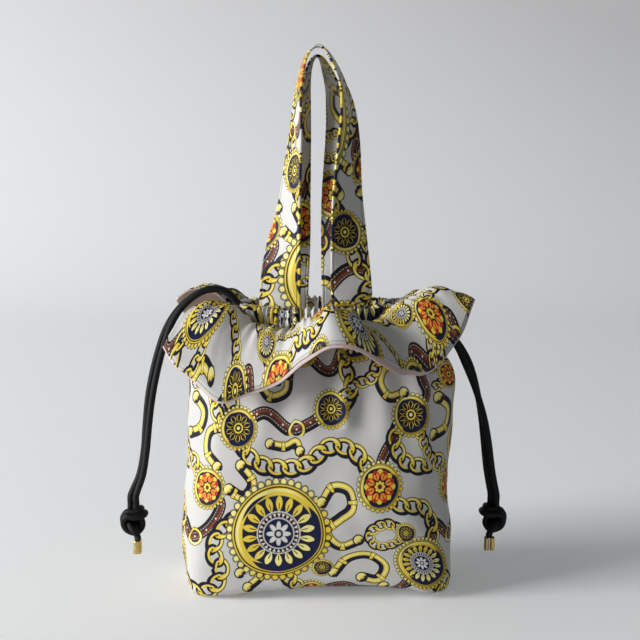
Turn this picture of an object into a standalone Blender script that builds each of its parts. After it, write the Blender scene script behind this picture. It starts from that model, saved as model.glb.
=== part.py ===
"""A drawstring pouch: a soft boxed body, a flounce that folds out at the drawn neck and two carrying handles.

Metres, +Z up. The origin is the middle of the base, where the pouch stands. The front is at -Y.
Every cloth piece is an open surface through rows of points, thickened with Solidify.
"""

import math

import bmesh
import bpy
from mathutils import Matrix, Vector

# Cloths, and the air that keeps two pieces apart
CLOTH = 0.0008
LINING = 0.0006
STRAP_CLOTH = 0.0020
GAP = 0.0003

# The standing body
BODY_WIDTH = 0.220
BODY_DEPTH = 0.112
BASE_EDGE = 0.012
SHOULDER_Z = 0.178
SEAM_Z = 0.2195
BOTTOM_LIFT = 0.008
CORNER_SQUARENESS = 4.6
LINING_ROOM = 0.0007

# The drawn neck, along the middle of the casing
NECK_WIDTH = 0.124
NECK_DEPTH = 0.072
NECK_SQUARENESS = 2.5
PLEATS = 12
PLEAT_DEPTH = 0.0024

# The casing that the drawstrings run in, with a slit at each side
CORD = 0.0055
CORD_ROOM = 0.0008
RUFFLE = 0.0012
RUFFLES = 7
SIDE_SLIT = 0.026

# The handles
STRAP_WIDTH = 0.0335
HANDLE_RISE = 0.2265
STRAP_SEWN = 0.016

# What ends the cords
STRAND_SPACING = 0.0066
BEND_SPANS = 4
KNOT_STRAND = 0.0059
TIP_LENGTH = 0.011
TIP_WIDTH = 0.0066
TIP_THICKNESS = 0.0042
TIP_WALL = 0.0004
TIP_SPACING = 0.0048

# How finely the surfaces are divided
POINTS_PER_PLEAT = 4
POINTS_PER_RUFFLE = 4
CASING_SIDES = 8
FRILL_PLEATS = 7
FRILL_PLEAT_HEIGHT = 0.0022
LINING_POINTS = 24
SHOULDER_STEPS = 5

# The flounce's free edge, left to right: across, out from the neck's front, up from the seam,
# and how far the flounce bulges above the straight line to that place
FRONT_EDGE = [
    (-0.1225, 0.024, -0.0075, 0.025),
    (-0.1130, 0.030, -0.0215, 0.031),
    (-0.0995, 0.034, -0.0325, 0.035),
    (-0.078, 0.040, -0.049, 0.027),
    (-0.057, 0.041, -0.043, 0.020),
    (-0.031, 0.046, -0.031, 0.014),
    (-0.013, 0.056, -0.014, 0.012),
    (0.003, 0.064, -0.003, 0.013),
    (0.016, 0.066, 0.000, 0.018),
    (0.030, 0.063, -0.002, 0.021),
    (0.047, 0.056, -0.011, 0.021),
    (0.062, 0.046, -0.021, 0.017),
    (0.071, 0.035, -0.025, 0.014),
    (0.085, 0.032, -0.028, 0.021),
    (0.096, 0.031, -0.021, 0.027),
    (0.1055, 0.027, -0.010, 0.030),
    (0.1160, 0.020, 0.0045, 0.027),
    (0.1250, 0.010, 0.0285, 0.014),
]
BACK_EDGE = [
    (-0.119, -0.018, 0.021, 0.017),
    (-0.112, 0.000, 0.002, 0.025),
    (-0.100, 0.018, -0.024, 0.027),
    (-0.080, 0.034, -0.043, 0.022),
    (-0.052, 0.040, -0.038, 0.015),
    (-0.024, 0.048, -0.022, 0.010),
    (0.004, 0.056, -0.014, 0.009),
    (0.032, 0.052, -0.022, 0.012),
    (0.058, 0.040, -0.038, 0.018),
    (0.083, 0.030, -0.044, 0.026),
    (0.103, 0.012, -0.028, 0.029),
    (0.114, -0.010, -0.008, 0.026),
]

# Each strap's middle line: share of the rise, across, in from where it is sewn, and its turn in degrees
FRONT_STRAP = [
    (0.000, -0.0305, 0.000, 0),
    (0.060, -0.0305, 0.000, 0),
    (0.130, -0.0303, 0.002, 5),
    (0.280, -0.0280, 0.004, 32),
    (0.430, -0.0232, 0.006, 56),
    (0.680, -0.0180, 0.009, 72),
    (0.820, -0.0160, 0.011, 80),
    (0.905, -0.0128, 0.012, 84),
    (0.960, -0.0092, 0.012, 87),
    (0.993, -0.0035, 0.012, 89),
    (0.999, 0.0015, 0.012, 91),
    (0.985, 0.0065, 0.012, 93),
    (0.950, 0.0120, 0.012, 95),
    (0.905, 0.0170, 0.012, 97),
    (0.860, 0.0208, 0.012, 99),
    (0.815, 0.0234, 0.011, 105),
    (0.740, 0.0252, 0.010, 114),
    (0.640, 0.0252, 0.009, 124),
    (0.475, 0.0243, 0.006, 136),
    (0.280, 0.0260, 0.004, 154),
    (0.130, 0.0276, 0.002, 175),
    (0.060, 0.0278, 0.000, 180),
    (0.000, 0.0278, 0.000, 180),
]
BACK_STRAP = [
    (0.000, -0.0244, 0.000, 0),
    (0.060, -0.0244, 0.000, 0),
    (0.130, -0.0243, 0.002, 5),
    (0.280, -0.0215, 0.004, 25),
    (0.430, -0.0175, 0.006, 48),
    (0.680, -0.0128, 0.009, 66),
    (0.820, -0.0104, 0.011, 76),
    (0.890, -0.0086, 0.012, 82),
    (0.940, -0.0058, 0.012, 86),
    (0.966, -0.0018, 0.012, 90),
    (0.960, 0.0028, 0.012, 94),
    (0.925, 0.0070, 0.012, 101),
    (0.880, 0.0108, 0.012, 107),
    (0.840, 0.0134, 0.012, 112),
    (0.780, 0.0155, 0.011, 119),
    (0.680, 0.0170, 0.009, 127),
    (0.460, 0.0165, 0.006, 140),
    (0.280, 0.0185, 0.004, 158),
    (0.130, 0.0200, 0.002, 175),
    (0.060, 0.0202, 0.000, 180),
    (0.000, 0.0202, 0.000, 180),
]

# The free cords' middle line, from the slit down to the knot: across, back and up, and how far the pair is
# turned there from lying front to back, in degrees
LEFT_TAIL = [
    (-0.0655, 0.0000, 0.2370, 0),
    (-0.0710, 0.0000, 0.2440, 0),
    (-0.0785, 0.0000, 0.2490, 0),
    (-0.0870, 0.0000, 0.2500, 0),
    (-0.0960, -0.0005, 0.2478, 0),
    (-0.1060, -0.0010, 0.2415, -6),
    (-0.1160, -0.0020, 0.2315, -16),
    (-0.1240, -0.0030, 0.2180, -28),
    (-0.1300, -0.0040, 0.2010, -36),
    (-0.1355, -0.0050, 0.1800, -38),
    (-0.1395, -0.0060, 0.1590, -36),
    (-0.1420, -0.0070, 0.1370, -30),
    (-0.1440, -0.0080, 0.1150, -26),
    (-0.1475, -0.0085, 0.0950, -30),
    (-0.1525, -0.0090, 0.0820, -40),
    (-0.1545, -0.0090, 0.0760, -48),
    (-0.1545, -0.0090, 0.0705, -52),
]
RIGHT_TAIL = [
    (0.0655, 0.0000, 0.2264, 0),
    (0.0715, 0.0010, 0.2262, 0),
    (0.0790, 0.0025, 0.2264, 0),
    (0.0880, 0.0040, 0.2256, 0),
    (0.0980, 0.0050, 0.2215, 0),
    (0.1080, 0.0060, 0.2135, 10),
    (0.1180, 0.0065, 0.2010, 24),
    (0.1260, 0.0060, 0.1850, 36),
    (0.1330, 0.0055, 0.1650, 12),
    (0.1385, 0.0050, 0.1430, -14),
    (0.1420, 0.0050, 0.1210, -32),
    (0.1445, 0.0050, 0.1000, -38),
    (0.1470, 0.0050, 0.0850, -40),
    (0.1490, 0.0050, 0.0750, -42),
    (0.1490, 0.0050, 0.0690, -42),
]

# An overhand knot around its middle, from the cords above it to the tips below it, in the strand's diameters
KNOT_ROUTE = [
    (0.08, 0.00, 2.54),
    (0.08, 0.01, 2.10),
    (0.07, 0.10, 1.63),
    (0.78, 0.31, 0.54),
    (1.25, 0.24, -0.64),
    (0.34, 0.03, -1.59),
    (-1.12, -0.25, -1.05),
    (-1.53, -0.51, 0.17),
    (-0.81, -0.93, 1.12),
    (0.34, -1.12, 1.05),
    (1.42, -0.78, 1.25),
    (1.59, 0.51, 1.36),
    (0.68, 1.42, 0.95),
    (-0.41, 1.02, 0.27),
    (-0.24, -0.27, -0.27),
    (0.20, -1.15, -0.88),
    (0.71, -1.19, -2.00),
    (0.71, -1.19, -2.46),
]

HALF_THICKNESS = CORD / 2 + CORD_ROOM + CLOTH
HALF_HEIGHT = CORD + 2 * CORD_ROOM + CLOTH
FRILL_Z = SEAM_Z + GAP + LINING + GAP + CLOTH
CASING_Z = FRILL_Z + GAP + HALF_HEIGHT
CORD_SPACING = CORD + GAP
NECK_FRONT = NECK_DEPTH / 2
NECK_SIDE = NECK_WIDTH / 2


def clear_scene():
    for obj in list(bpy.data.objects):
        bpy.data.objects.remove(obj)


def collection(name):
    made = bpy.data.collections.new(name)
    bpy.context.scene.collection.children.link(made)
    return made


def material(name, colour, roughness, metallic=0.0):
    made = bpy.data.materials.new(name)
    made.use_nodes = True
    shader = made.node_tree.nodes["Principled BSDF"]
    shader.inputs["Base Color"].default_value = (*colour, 1.0)
    shader.inputs["Roughness"].default_value = roughness
    shader.inputs["Metallic"].default_value = metallic
    return made


def add(group, obj, finish):
    obj.data.materials.append(finish)
    group.objects.link(obj)
    return obj


def ease(value):
    value = min(max(value, 0.0), 1.0)
    return value * value * (3 - 2 * value)


def spaced(points, count, closed=False):
    """The line through these points again, as count points an even way apart."""
    line = [Vector(p) for p in points]
    if closed:
        line.append(line[0])
    along = [0.0]
    for a, b in zip(line, line[1:]):
        along.append(along[-1] + (b - a).length)
    steps = count if closed else count - 1
    found, place = [], 0
    for i in range(count):
        at = along[-1] * i / steps
        while place < len(line) - 2 and along[place + 1] < at:
            place += 1
        length = along[place + 1] - along[place]
        share = (at - along[place]) / length if length else 0.0
        found.append(line[place].lerp(line[place + 1], min(max(share, 0.0), 1.0)))
    return found


def smooth(points, per_span=8):
    """A smooth curve through these points, by the rule of Catmull and Rom."""
    p = [Vector(q) for q in points]
    p = [2 * p[0] - p[1], *p, 2 * p[-1] - p[-2]]
    found = []
    for a, b, c, d in zip(p, p[1:], p[2:], p[3:]):
        for i in range(per_span):
            t = i / per_span
            bend = (2 * a - 5 * b + 4 * c - d) * t**2 + (3 * b - a - 3 * c + d) * t**3
            found.append(0.5 * (2 * b + (c - a) * t + bend))
    return [*found, p[-2]]


def oval(half_width, half_depth, squareness, count, start=0.0, end=2 * math.pi):
    """Points of a rounded rectangle or a part of one, an even way apart. It runs anticlockwise from +X."""
    closed = end - start > 2 * math.pi - 1e-6
    fine, raw = 360, []
    power = 2 / squareness
    for i in range(fine + (0 if closed else 1)):
        turn = start + (end - start) * i / fine
        c, s = math.cos(turn), math.sin(turn)
        x = half_width * math.copysign(abs(c) ** power, c)
        y = half_depth * math.copysign(abs(s) ** power, s)
        raw.append((x, y, 0.0))
    return spaced(raw, count, closed)


def surface(name, rows, closed=False, centre=None):
    """An open surface through rows of points. A centre closes the first row with a fan."""
    mesh = bpy.data.meshes.new(name)
    shape = bmesh.new()
    grid = [[shape.verts.new(p) for p in row] for row in rows]
    across = len(rows[0]) if closed else len(rows[0]) - 1
    for low, high in zip(grid, grid[1:]):
        for i in range(across):
            j = (i + 1) % len(low)
            shape.faces.new((low[i], low[j], high[j], high[i]))
    if centre is not None:
        hub = shape.verts.new(centre)
        for i in range(across):
            shape.faces.new((hub, grid[0][(i + 1) % len(grid[0])], grid[0][i]))
    shape.to_mesh(mesh)
    shape.free()
    mesh.shade_smooth()
    return bpy.data.objects.new(name, mesh)


def thicken(obj, thickness, side=-1.0):
    """Gives a surface its cloth's thickness: below it for -1, above it for 1, and both ways for 0."""
    made = obj.modifiers.new("cloth", "SOLIDIFY")
    made.thickness = thickness
    made.offset = side
    made.use_even_offset = True
    made.use_quality_normals = True
    return obj


def sink(obj, depth):
    """Moves a surface along its own normals, to lie under another cloth."""
    made = obj.modifiers.new("under the cloth above", "DISPLACE")
    made.strength = -depth
    made.mid_level = 0.0
    return obj


def body_levels(inset, wall_steps):
    """The body's levels from the base up: half width, half depth, height, squareness, and how far drawn in."""
    wide, deep = BODY_WIDTH / 2 - inset, BODY_DEPTH / 2 - inset
    levels = []
    flat = 0.5
    levels.append(((wide - BASE_EDGE) * flat, (deep - BASE_EDGE) * flat, inset, CORNER_SQUARENESS, 0.0))
    for step in range(3):
        turn = math.pi / 2 * step / 2
        back = BASE_EDGE * (1 - math.sin(turn))
        height = inset + BASE_EDGE * (1 - math.cos(turn))
        levels.append((wide - back, deep - back, height, CORNER_SQUARENESS, 0.0))
    wall = SHOULDER_Z - BASE_EDGE - inset
    for step in range(1, wall_steps):
        height = inset + BASE_EDGE + wall * step / wall_steps
        levels.append((wide, deep, height, CORNER_SQUARENESS, 0.0))
    for step in range(SHOULDER_STEPS + 1):
        drawn = step / SHOULDER_STEPS
        out, up = math.cos(math.pi / 2 * drawn), math.sin(math.pi / 2 * drawn)
        half_width = NECK_SIDE + (BODY_WIDTH / 2 - NECK_SIDE) * out - inset * out
        half_depth = NECK_FRONT + (BODY_DEPTH / 2 - NECK_FRONT) * out - inset * out
        height = SHOULDER_Z + (SEAM_Z - SHOULDER_Z) * up - inset * up
        squareness = NECK_SQUARENESS + (CORNER_SQUARENESS - NECK_SQUARENESS) * out
        levels.append((half_width, half_depth, height, squareness, drawn))
    return levels


def lifted(point):
    """The base's front edge is pulled up a little between its corners."""
    forward = ease((-point.y / BODY_DEPTH - 0.18) / 0.30)
    sideways = math.cos(math.pi * min(abs(point.x) / BODY_WIDTH, 0.5)) ** 2
    low = 1 - ease(point.z / (4 * BASE_EDGE))
    return point + Vector((0, 0, BOTTOM_LIFT * forward * sideways * low))


def body_rows(inset, points, wall_steps, pleated):
    """The body's surface as rings. Its pleats sink below the plain shoulder, most at the neck.
    What isn't pleated lies as deep as the pleats all around."""
    rows = []
    for half_width, half_depth, height, squareness, drawn in body_levels(inset, wall_steps):
        ring = []
        slope = math.pi / 2 * drawn
        for i, place in enumerate(oval(half_width, half_depth, squareness, points)):
            wave = 0.5 - 0.5 * math.cos(2 * math.pi * i / POINTS_PER_PLEAT) if pleated else 1.0
            inward = Vector((-place.x, -place.y, 0)).normalized() * math.cos(slope)
            down = Vector((0, 0, -math.sin(slope)))
            sunk = PLEAT_DEPTH * drawn**1.5 * wave * (inward + down)
            ring.append(lifted(Vector((place.x, place.y, height)) + sunk))
        rows.append(ring)
    return rows


def outer_body(group, finish):
    rows = body_rows(0.0, PLEATS * POINTS_PER_PLEAT, 3, True)
    obj = surface("outer_body", rows, closed=True, centre=(0, 0, 0))
    add(group, thicken(obj, CLOTH), finish)


def body_lining(group, finish):
    """The lining hangs inside the cloth, clear of its pleats."""
    inset = CLOTH + LINING_ROOM + LINING / 2
    rows = body_rows(inset, LINING_POINTS, 2, False)
    obj = surface("body_lining", rows, closed=True, centre=(0, 0, inset))
    add(group, thicken(obj, LINING, 0.0), finish)


def neck_depth_at(across, inset):
    """How far the neck's inner side is from the middle, at this place across."""
    share = min(abs(across) / (NECK_SIDE - inset), 0.999)
    return (NECK_FRONT - inset) * (1 - share**NECK_SQUARENESS) ** (1 / NECK_SQUARENESS)


def half_neck(front, count):
    """The neck's front or back half between the side slits, from left to right, and the way out at each point."""
    start = math.asin((SIDE_SLIT / 2 / NECK_FRONT) ** (NECK_SQUARENESS / 2))
    if front:
        line = oval(NECK_SIDE, NECK_FRONT, NECK_SQUARENESS, count, math.pi + start, 2 * math.pi - start)
    else:
        line = oval(NECK_SIDE, NECK_FRONT, NECK_SQUARENESS, count, start, math.pi - start)[::-1]
    sign = 1 if front else -1
    found = []
    for i, place in enumerate(line):
        along = (line[min(i + 1, count - 1)] - line[max(i - 1, 0)]).normalized()
        found.append((place, sign * Vector((along.y, -along.x, 0))))
    return found


def casing(group, name, front, finish):
    """A sleeve of folded cloth along half of the neck, ruffled by the drawn cords and open at both ends."""
    rows = []
    for i, (place, out) in enumerate(half_neck(front, RUFFLES * POINTS_PER_RUFFLE + 1)):
        row = []
        for k in range(CASING_SIDES):
            turn = 2 * math.pi * k / CASING_SIDES
            wave = 0.5 - 0.5 * math.cos(2 * math.pi * i / POINTS_PER_RUFFLE)
            ruffle = RUFFLE * wave
            outward = (1 + math.cos(turn)) / 2
            thick = (HALF_THICKNESS + ruffle * outward) * math.copysign(abs(math.cos(turn)) ** 0.5, math.cos(turn))
            high = HALF_HEIGHT * math.copysign(abs(math.sin(turn)) ** 0.5, math.sin(turn))
            high += ruffle * max(math.sin(turn), 0.0)
            row.append(Vector((place.x, place.y, CASING_Z + high)) + out * thick)
        rows.append(row[::-1] if front else row)
    add(group, thicken(surface(name, rows, closed=True), CLOTH), finish)


def frill_rows(front):
    """The flounce from under the casing out to its free edge. It rises and then falls, gathered at its root."""
    edge_points = FRONT_EDGE if front else BACK_EDGE
    columns = FRILL_PLEATS * POINTS_PER_PLEAT + 1
    edge = spaced(smooth([(x, f, u) for x, f, u, _ in edge_points]), columns)
    bulge = smooth([(b, 0, 0) for *_, b in edge_points])
    out_from_casing = HALF_THICKNESS + RUFFLE + CLOTH
    sign = -1 if front else 1
    steps = 4
    rows = [[] for _ in range(steps + 2)]
    for i, (place, out) in enumerate(half_neck(front, columns)):
        share = i / (columns - 1)
        rise = bulge[round(share * (len(bulge) - 1))].x
        seam = Vector((place.x, place.y, FRILL_Z))
        foot = seam + out * out_from_casing
        x, forward, up = edge[i]
        tip = Vector((x, sign * (NECK_FRONT + forward), SEAM_Z + up))
        wave = 0.5 - 0.5 * math.cos(2 * math.pi * i / POINTS_PER_PLEAT)
        rows[0].append(seam)
        for step in range(steps + 1):
            down = step / steps
            gather = FRILL_PLEAT_HEIGHT * wave * 4 * down * (1 - down) ** 2
            height = rise * 4 * down * (1 - down) + gather
            rows[step + 1].append(foot.lerp(tip, down) + Vector((0, 0, height)))
    return [row[::-1] for row in rows] if front else rows


def frill(group, name, front, cloth, lining):
    rows = frill_rows(front)
    add(group, thicken(surface(name, rows), CLOTH), cloth)
    under = sink(surface(name + "_lining", rows), CLOTH + GAP)
    add(group, thicken(under, LINING), lining)


def handle(group, name, front, stations, finish):
    """A flat strap from one leg over the top to the other. Each leg turns a quarter on its way up."""
    side = -1 if front else 1
    inside = HALF_THICKNESS + CLOTH + GAP + STRAP_CLOTH / 2
    foot_z = CASING_Z - STRAP_SEWN / 2
    path = smooth([(x, inward, share) for share, x, inward, _ in stations], 2)
    turns = smooth([(turn, 0, 0) for *_, turn in stations], 2)
    rows = []
    for (across, inward, share), turned in zip(path, turns):
        turn = math.radians(turned.x)
        hug = 1 - ease((share - 0.085) / 0.10)
        row = []
        for k in (-1, -0.5, 0, 0.5, 1):
            x = across + k * STRAP_WIDTH / 2 * math.cos(turn)
            flat = NECK_FRONT - inside - inward + k * STRAP_WIDTH / 2 * math.sin(turn)
            sewn = neck_depth_at(x, inside) - inward
            row.append(Vector((x, side * (flat + (sewn - flat) * hug), foot_z + share * HANDLE_RISE)))
        rows.append(row)
    add(group, thicken(surface(name, rows), STRAP_CLOTH, 0.0), finish)


def cord(group, name, points, diameter, finish):
    """A round cord through these points."""
    data = bpy.data.curves.new(name, "CURVE")
    data.dimensions = "3D"
    spline = data.splines.new("POLY")
    spline.points.add(len(points) - 1)
    for place, point in zip(spline.points, points):
        place.co = (*point, 1.0)
    data.bevel_depth = diameter / 2
    data.bevel_resolution = 2
    data.use_fill_caps = True
    return add(group, bpy.data.objects.new(name, data), finish)


def drawstring(group, name, leaves_left, up, finish):
    """The held loop of a cord: through both casings and across the far slit, with both ends at its own slit."""
    sign = -1 if leaves_left else 1
    mouth = math.asin(((SIDE_SLIT / 2 - GAP) / NECK_FRONT) ** (NECK_SQUARENESS / 2))
    line = oval(NECK_SIDE, NECK_FRONT, NECK_SQUARENESS, 49, mouth, 2 * math.pi - mouth)
    points = [Vector((sign * p.x, p.y, CASING_Z + up)) for p in line]
    cord(group, name, points, CORD, finish)
    return [(a, (a - b).normalized()) for a, b in ((points[0], points[1]), (points[-1], points[-2]))]


def tail(group, name, mouth, way, route, strand, finish):
    """A free cord from the casing's mouth, through a quarter turn outwards and down to the knot."""
    begin = mouth + way * GAP
    straight = begin + way * CORD * 0.9
    free = []
    for x, y, z, degrees in route:
        turn = math.radians(degrees)
        free.append(Vector((x + strand * math.sin(turn), y + strand * math.cos(turn), z)))
    bend = smooth([begin, straight, *free], 3)[: 3 * BEND_SPANS]
    cord(group, name, [*bend, *free[BEND_SPANS - 2 :]], CORD, finish)


def ending(group, side_name, end, mirrored, tips_along_x, cord_finish, brass_finish):
    """The overhand knot under a pair of cords, and the two cord ends in their brass tips below it."""
    flip = -1 if mirrored else 1
    route = [Vector((flip * x, y, z)) * KNOT_STRAND for x, y, z in KNOT_ROUTE]
    middle = Vector(end) - route[0] - Vector((0, 0, GAP))
    cord(group, side_name + "_knot", spaced(smooth([middle + p for p in route]), 46), KNOT_STRAND, cord_finish)
    below = middle + route[-1] - Vector((0, 0, GAP))
    spread = Vector((TIP_SPACING / 2, 0, 0)) if tips_along_x else Vector((0, TIP_SPACING / 2, 0))
    turn = Matrix.Rotation(math.pi / 2 if tips_along_x else 0.0, 3, "Z")
    for end_name, sign in (("front", -1), ("back", 1)):
        place = below + sign * spread
        name = f"{side_name}_{end_name}"
        squeeze = 2 * (TIP_WALL + GAP)
        stub = bmesh.new()
        bmesh.ops.create_cone(stub, cap_ends=True, segments=12, radius1=0.5, radius2=0.5, depth=1.0)
        size = ((TIP_WIDTH - squeeze), (TIP_THICKNESS - squeeze), TIP_LENGTH)
        bmesh.ops.scale(stub, vec=size, verts=stub.verts)
        bmesh.ops.rotate(stub, matrix=turn, verts=stub.verts)
        bmesh.ops.translate(stub, vec=place - Vector((0, 0, TIP_LENGTH / 2)), verts=stub.verts)
        mesh = bpy.data.meshes.new(name + "_end")
        stub.to_mesh(mesh)
        stub.free()
        add(group, bpy.data.objects.new(name + "_end", mesh), cord_finish)
        rings = []
        for height in (-TIP_LENGTH, -TIP_LENGTH / 2, 0.0):
            ring = oval(TIP_WIDTH / 2, TIP_THICKNESS / 2, 2.0, 12)
            rings.append([place + turn @ p + Vector((0, 0, height)) for p in ring])
        add(group, thicken(surface(name + "_tip", rings, closed=True), TIP_WALL), brass_finish)


def build():
    clear_scene()
    group = collection("drawstring_pouch")
    print_cloth = material("printed_satin", (0.62, 0.60, 0.57), 0.42)
    lining = material("pink_lining", (0.66, 0.54, 0.50), 0.70)
    black = material("black_cord", (0.012, 0.012, 0.014), 0.45)
    brass = material("brass_tips", (0.72, 0.56, 0.22), 0.30, 1.0)
    outer_body(group, print_cloth)
    body_lining(group, lining)
    casing(group, "front_casing", True, print_cloth)
    casing(group, "back_casing", False, print_cloth)
    frill(group, "front_frill", True, print_cloth, lining)
    frill(group, "back_frill", False, print_cloth, lining)
    handle(group, "front_handle", True, FRONT_STRAP, print_cloth)
    handle(group, "back_handle", False, BACK_STRAP, print_cloth)
    for side_name, up, route in (("left", CORD_SPACING / 2, LEFT_TAIL), ("right", -CORD_SPACING / 2, RIGHT_TAIL)):
        leaves_left = side_name == "left"
        ends = drawstring(group, side_name + "_drawstring", leaves_left, up, black)
        for mouth, way in ends:
            place = "front" if mouth.y < 0 else "back"
            strand = math.copysign(STRAND_SPACING / 2, mouth.y)
            tail(group, f"{side_name}_{place}_tail", mouth, way, route, strand, black)
        ending(group, side_name, route[-1][:3], not leaves_left, not leaves_left, black, brass)


build()
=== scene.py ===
"""Dresses a drawstring pouch: printed satin, pinkish lining, knotted black cords and brass tips.

Metres, +Z up, the front at -Y. Every piece takes the place of a plain solid in the loaded frame.
"""

import math

import bmesh
import bpy
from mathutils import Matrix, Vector, kdtree, noise


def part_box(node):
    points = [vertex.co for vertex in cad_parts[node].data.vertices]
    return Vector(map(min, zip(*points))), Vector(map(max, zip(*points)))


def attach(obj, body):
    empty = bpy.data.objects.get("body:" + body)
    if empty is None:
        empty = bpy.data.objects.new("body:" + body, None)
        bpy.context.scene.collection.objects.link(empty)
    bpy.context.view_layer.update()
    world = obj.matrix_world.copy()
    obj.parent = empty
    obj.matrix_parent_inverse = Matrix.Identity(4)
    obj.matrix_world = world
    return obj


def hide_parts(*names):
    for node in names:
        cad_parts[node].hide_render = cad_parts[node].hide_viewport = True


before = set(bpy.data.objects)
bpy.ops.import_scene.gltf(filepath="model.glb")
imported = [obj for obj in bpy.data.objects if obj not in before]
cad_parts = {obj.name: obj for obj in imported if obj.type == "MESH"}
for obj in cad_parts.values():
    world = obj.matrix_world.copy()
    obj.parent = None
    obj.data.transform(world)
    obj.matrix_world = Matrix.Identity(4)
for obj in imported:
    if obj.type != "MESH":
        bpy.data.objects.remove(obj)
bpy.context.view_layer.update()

bl_info = {
    "name": "Drawstring Pouch",
    "version": (1, 0, 0),
    "blender": (4, 5, 0),
    "location": "View3D > Sidebar > Pouch",
    "description": "Builds a soft drawstring pouch of printed satin around its plain solids",
    "category": "Add Mesh",
}

# What is read from the frame
BODY_LOW, BODY_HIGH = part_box("outer_body")
BODY_HALF_WIDTH = (BODY_HIGH[0] - BODY_LOW[0]) / 2
BODY_HALF_DEPTH = (BODY_HIGH[1] - BODY_LOW[1]) / 2
SEAM_Z = BODY_HIGH[2]

# The drawn neck, its casing and the cords in it, as in the solids
NECK_SIDE = 0.062
NECK_FRONT = 0.036
NECK_SQUARENESS = 2.5
SIDE_SLIT = 0.026
CORD_ROOM = 0.0008
GAP = 0.0003

# The body's cloth. The shoulder takes this much of it, and the print on the base starts at this place on it
BASE_EDGE = 0.0070
SHOULDER_Z = 0.178
BELLY = 0.0050
BODY_AROUND = 0.664
SHOULDER_CLOTH = 0.066
BASE_PRINT = -0.056

# The pleats around the neck, how far inside the lining bag lies, and the mesh: its columns around the body,
# and its rows up the wall, the shoulder and the base
NECK_PLEATS = 34
LINING_APART = 0.0011
BODY_COLUMNS = 288
BODY_ROWS = (52, 22, 9)
LINING_ROWS = (36, 14, 5)

# The flat cloth of each sheet: how wide and how long it is cut
CASING_CUT = (0.235, 0.042)

# How square the body's plan is, at heights up the wall: the base is boxed and the wall is a pillow
CORNERS = [(0.000, 8.5), (0.014, 6.5), (0.045, 4.3), (0.090, 3.4), (0.150, 3.1), (0.178, 3.1), (0.260, 3.1)]

# Where the body's sides stand: height and distance across
LEFT_SIDE = [
    (0.000, 0.104), (0.018, 0.109), (0.042, 0.1125), (0.075, 0.112), (0.120, 0.1085), (0.168, 0.1065),
    (0.220, 0.107),
]
RIGHT_SIDE = [
    (0.000, 0.108), (0.018, 0.111), (0.050, 0.1120), (0.088, 0.1075), (0.100, 0.1085), (0.145, 0.114),
    (0.166, 0.1135), (0.220, 0.108),
]

# How far the front's bottom edge is pulled up: across, and how far
FRONT_LIFT = [
    (-0.110, 0.000), (-0.070, 0.0030), (-0.036, 0.0072), (0.000, 0.0108), (0.040, 0.0120), (0.072, 0.0090),
    (0.092, 0.0045), (0.112, 0.0030),
]

# The cloth's soft unevenness: how high its swells are, how wide, and a seed
BODY_SWELLS = [(0.0024, 0.060, 1.0), (0.0010, 0.024, 2.0)]

# The cloth is taut at its foot: where its folds begin, and over what height they come up
FOOT_TAUT = 0.004
FOOT_HEIGHT = 0.045

# Soft folds that run down from the neck. Each: where it starts and ends along the cloth, the height where
# it ends, how far it stands out or in, its half width, and how abruptly it ends (under 1) or fades (over 1)
FOLDS_START = SHOULDER_Z + 0.062
BODY_FOLDS = [
    (-0.082, -0.102, 0.085, 0.0062, 0.0100, 1.4),
    (-0.064, -0.080, 0.120, -0.0046, 0.0090, 1.4),
    (-0.044, -0.056, 0.104, 0.0058, 0.0095, 1.2),
    (-0.026, -0.034, 0.128, -0.0050, 0.0085, 1.2),
    (-0.008, -0.012, 0.140, 0.0052, 0.0080, 1.2),
    (0.005, 0.0150, 0.146, -0.0060, 0.0060, 0.6),
    (0.017, 0.0265, 0.149, 0.0105, 0.0048, 0.38),
    (0.032, 0.042, 0.136, -0.0050, 0.0075, 1.0),
    (0.050, 0.066, 0.104, 0.0056, 0.0095, 1.3),
    (0.068, 0.084, 0.122, -0.0044, 0.0085, 1.3),
    (0.086, 0.104, 0.088, 0.0060, 0.0090, 1.4),
    (0.112, 0.104, 0.060, -0.0050, 0.0060, 1.0),
    (0.135, 0.128, 0.110, 0.0060, 0.0100, 1.4),
    (0.166, 0.166, 0.060, -0.0070, 0.0130, 1.2),
    (0.198, 0.206, 0.110, 0.0060, 0.0100, 1.4),
    (0.236, 0.246, 0.100, 0.0056, 0.0095, 1.4),
    (0.256, 0.262, 0.124, -0.0044, 0.0085, 1.2),
    (0.280, 0.286, 0.096, 0.0054, 0.0090, 1.2),
    (0.306, 0.310, 0.120, -0.0046, 0.0085, 1.2),
    (0.326, 0.324, 0.104, 0.0054, 0.0090, 1.2),
    (-0.135, -0.130, 0.105, 0.0060, 0.0100, 1.4),
    (-0.166, -0.166, 0.055, -0.0070, 0.0130, 1.2),
    (-0.198, -0.204, 0.115, 0.0060, 0.0100, 1.4),
    (-0.238, -0.246, 0.092, 0.0056, 0.0095, 1.4),
    (-0.262, -0.266, 0.130, -0.0046, 0.0085, 1.2),
    (-0.284, -0.290, 0.112, 0.0054, 0.0090, 1.2),
    (-0.308, -0.310, 0.098, -0.0044, 0.0085, 1.2),
]

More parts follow.
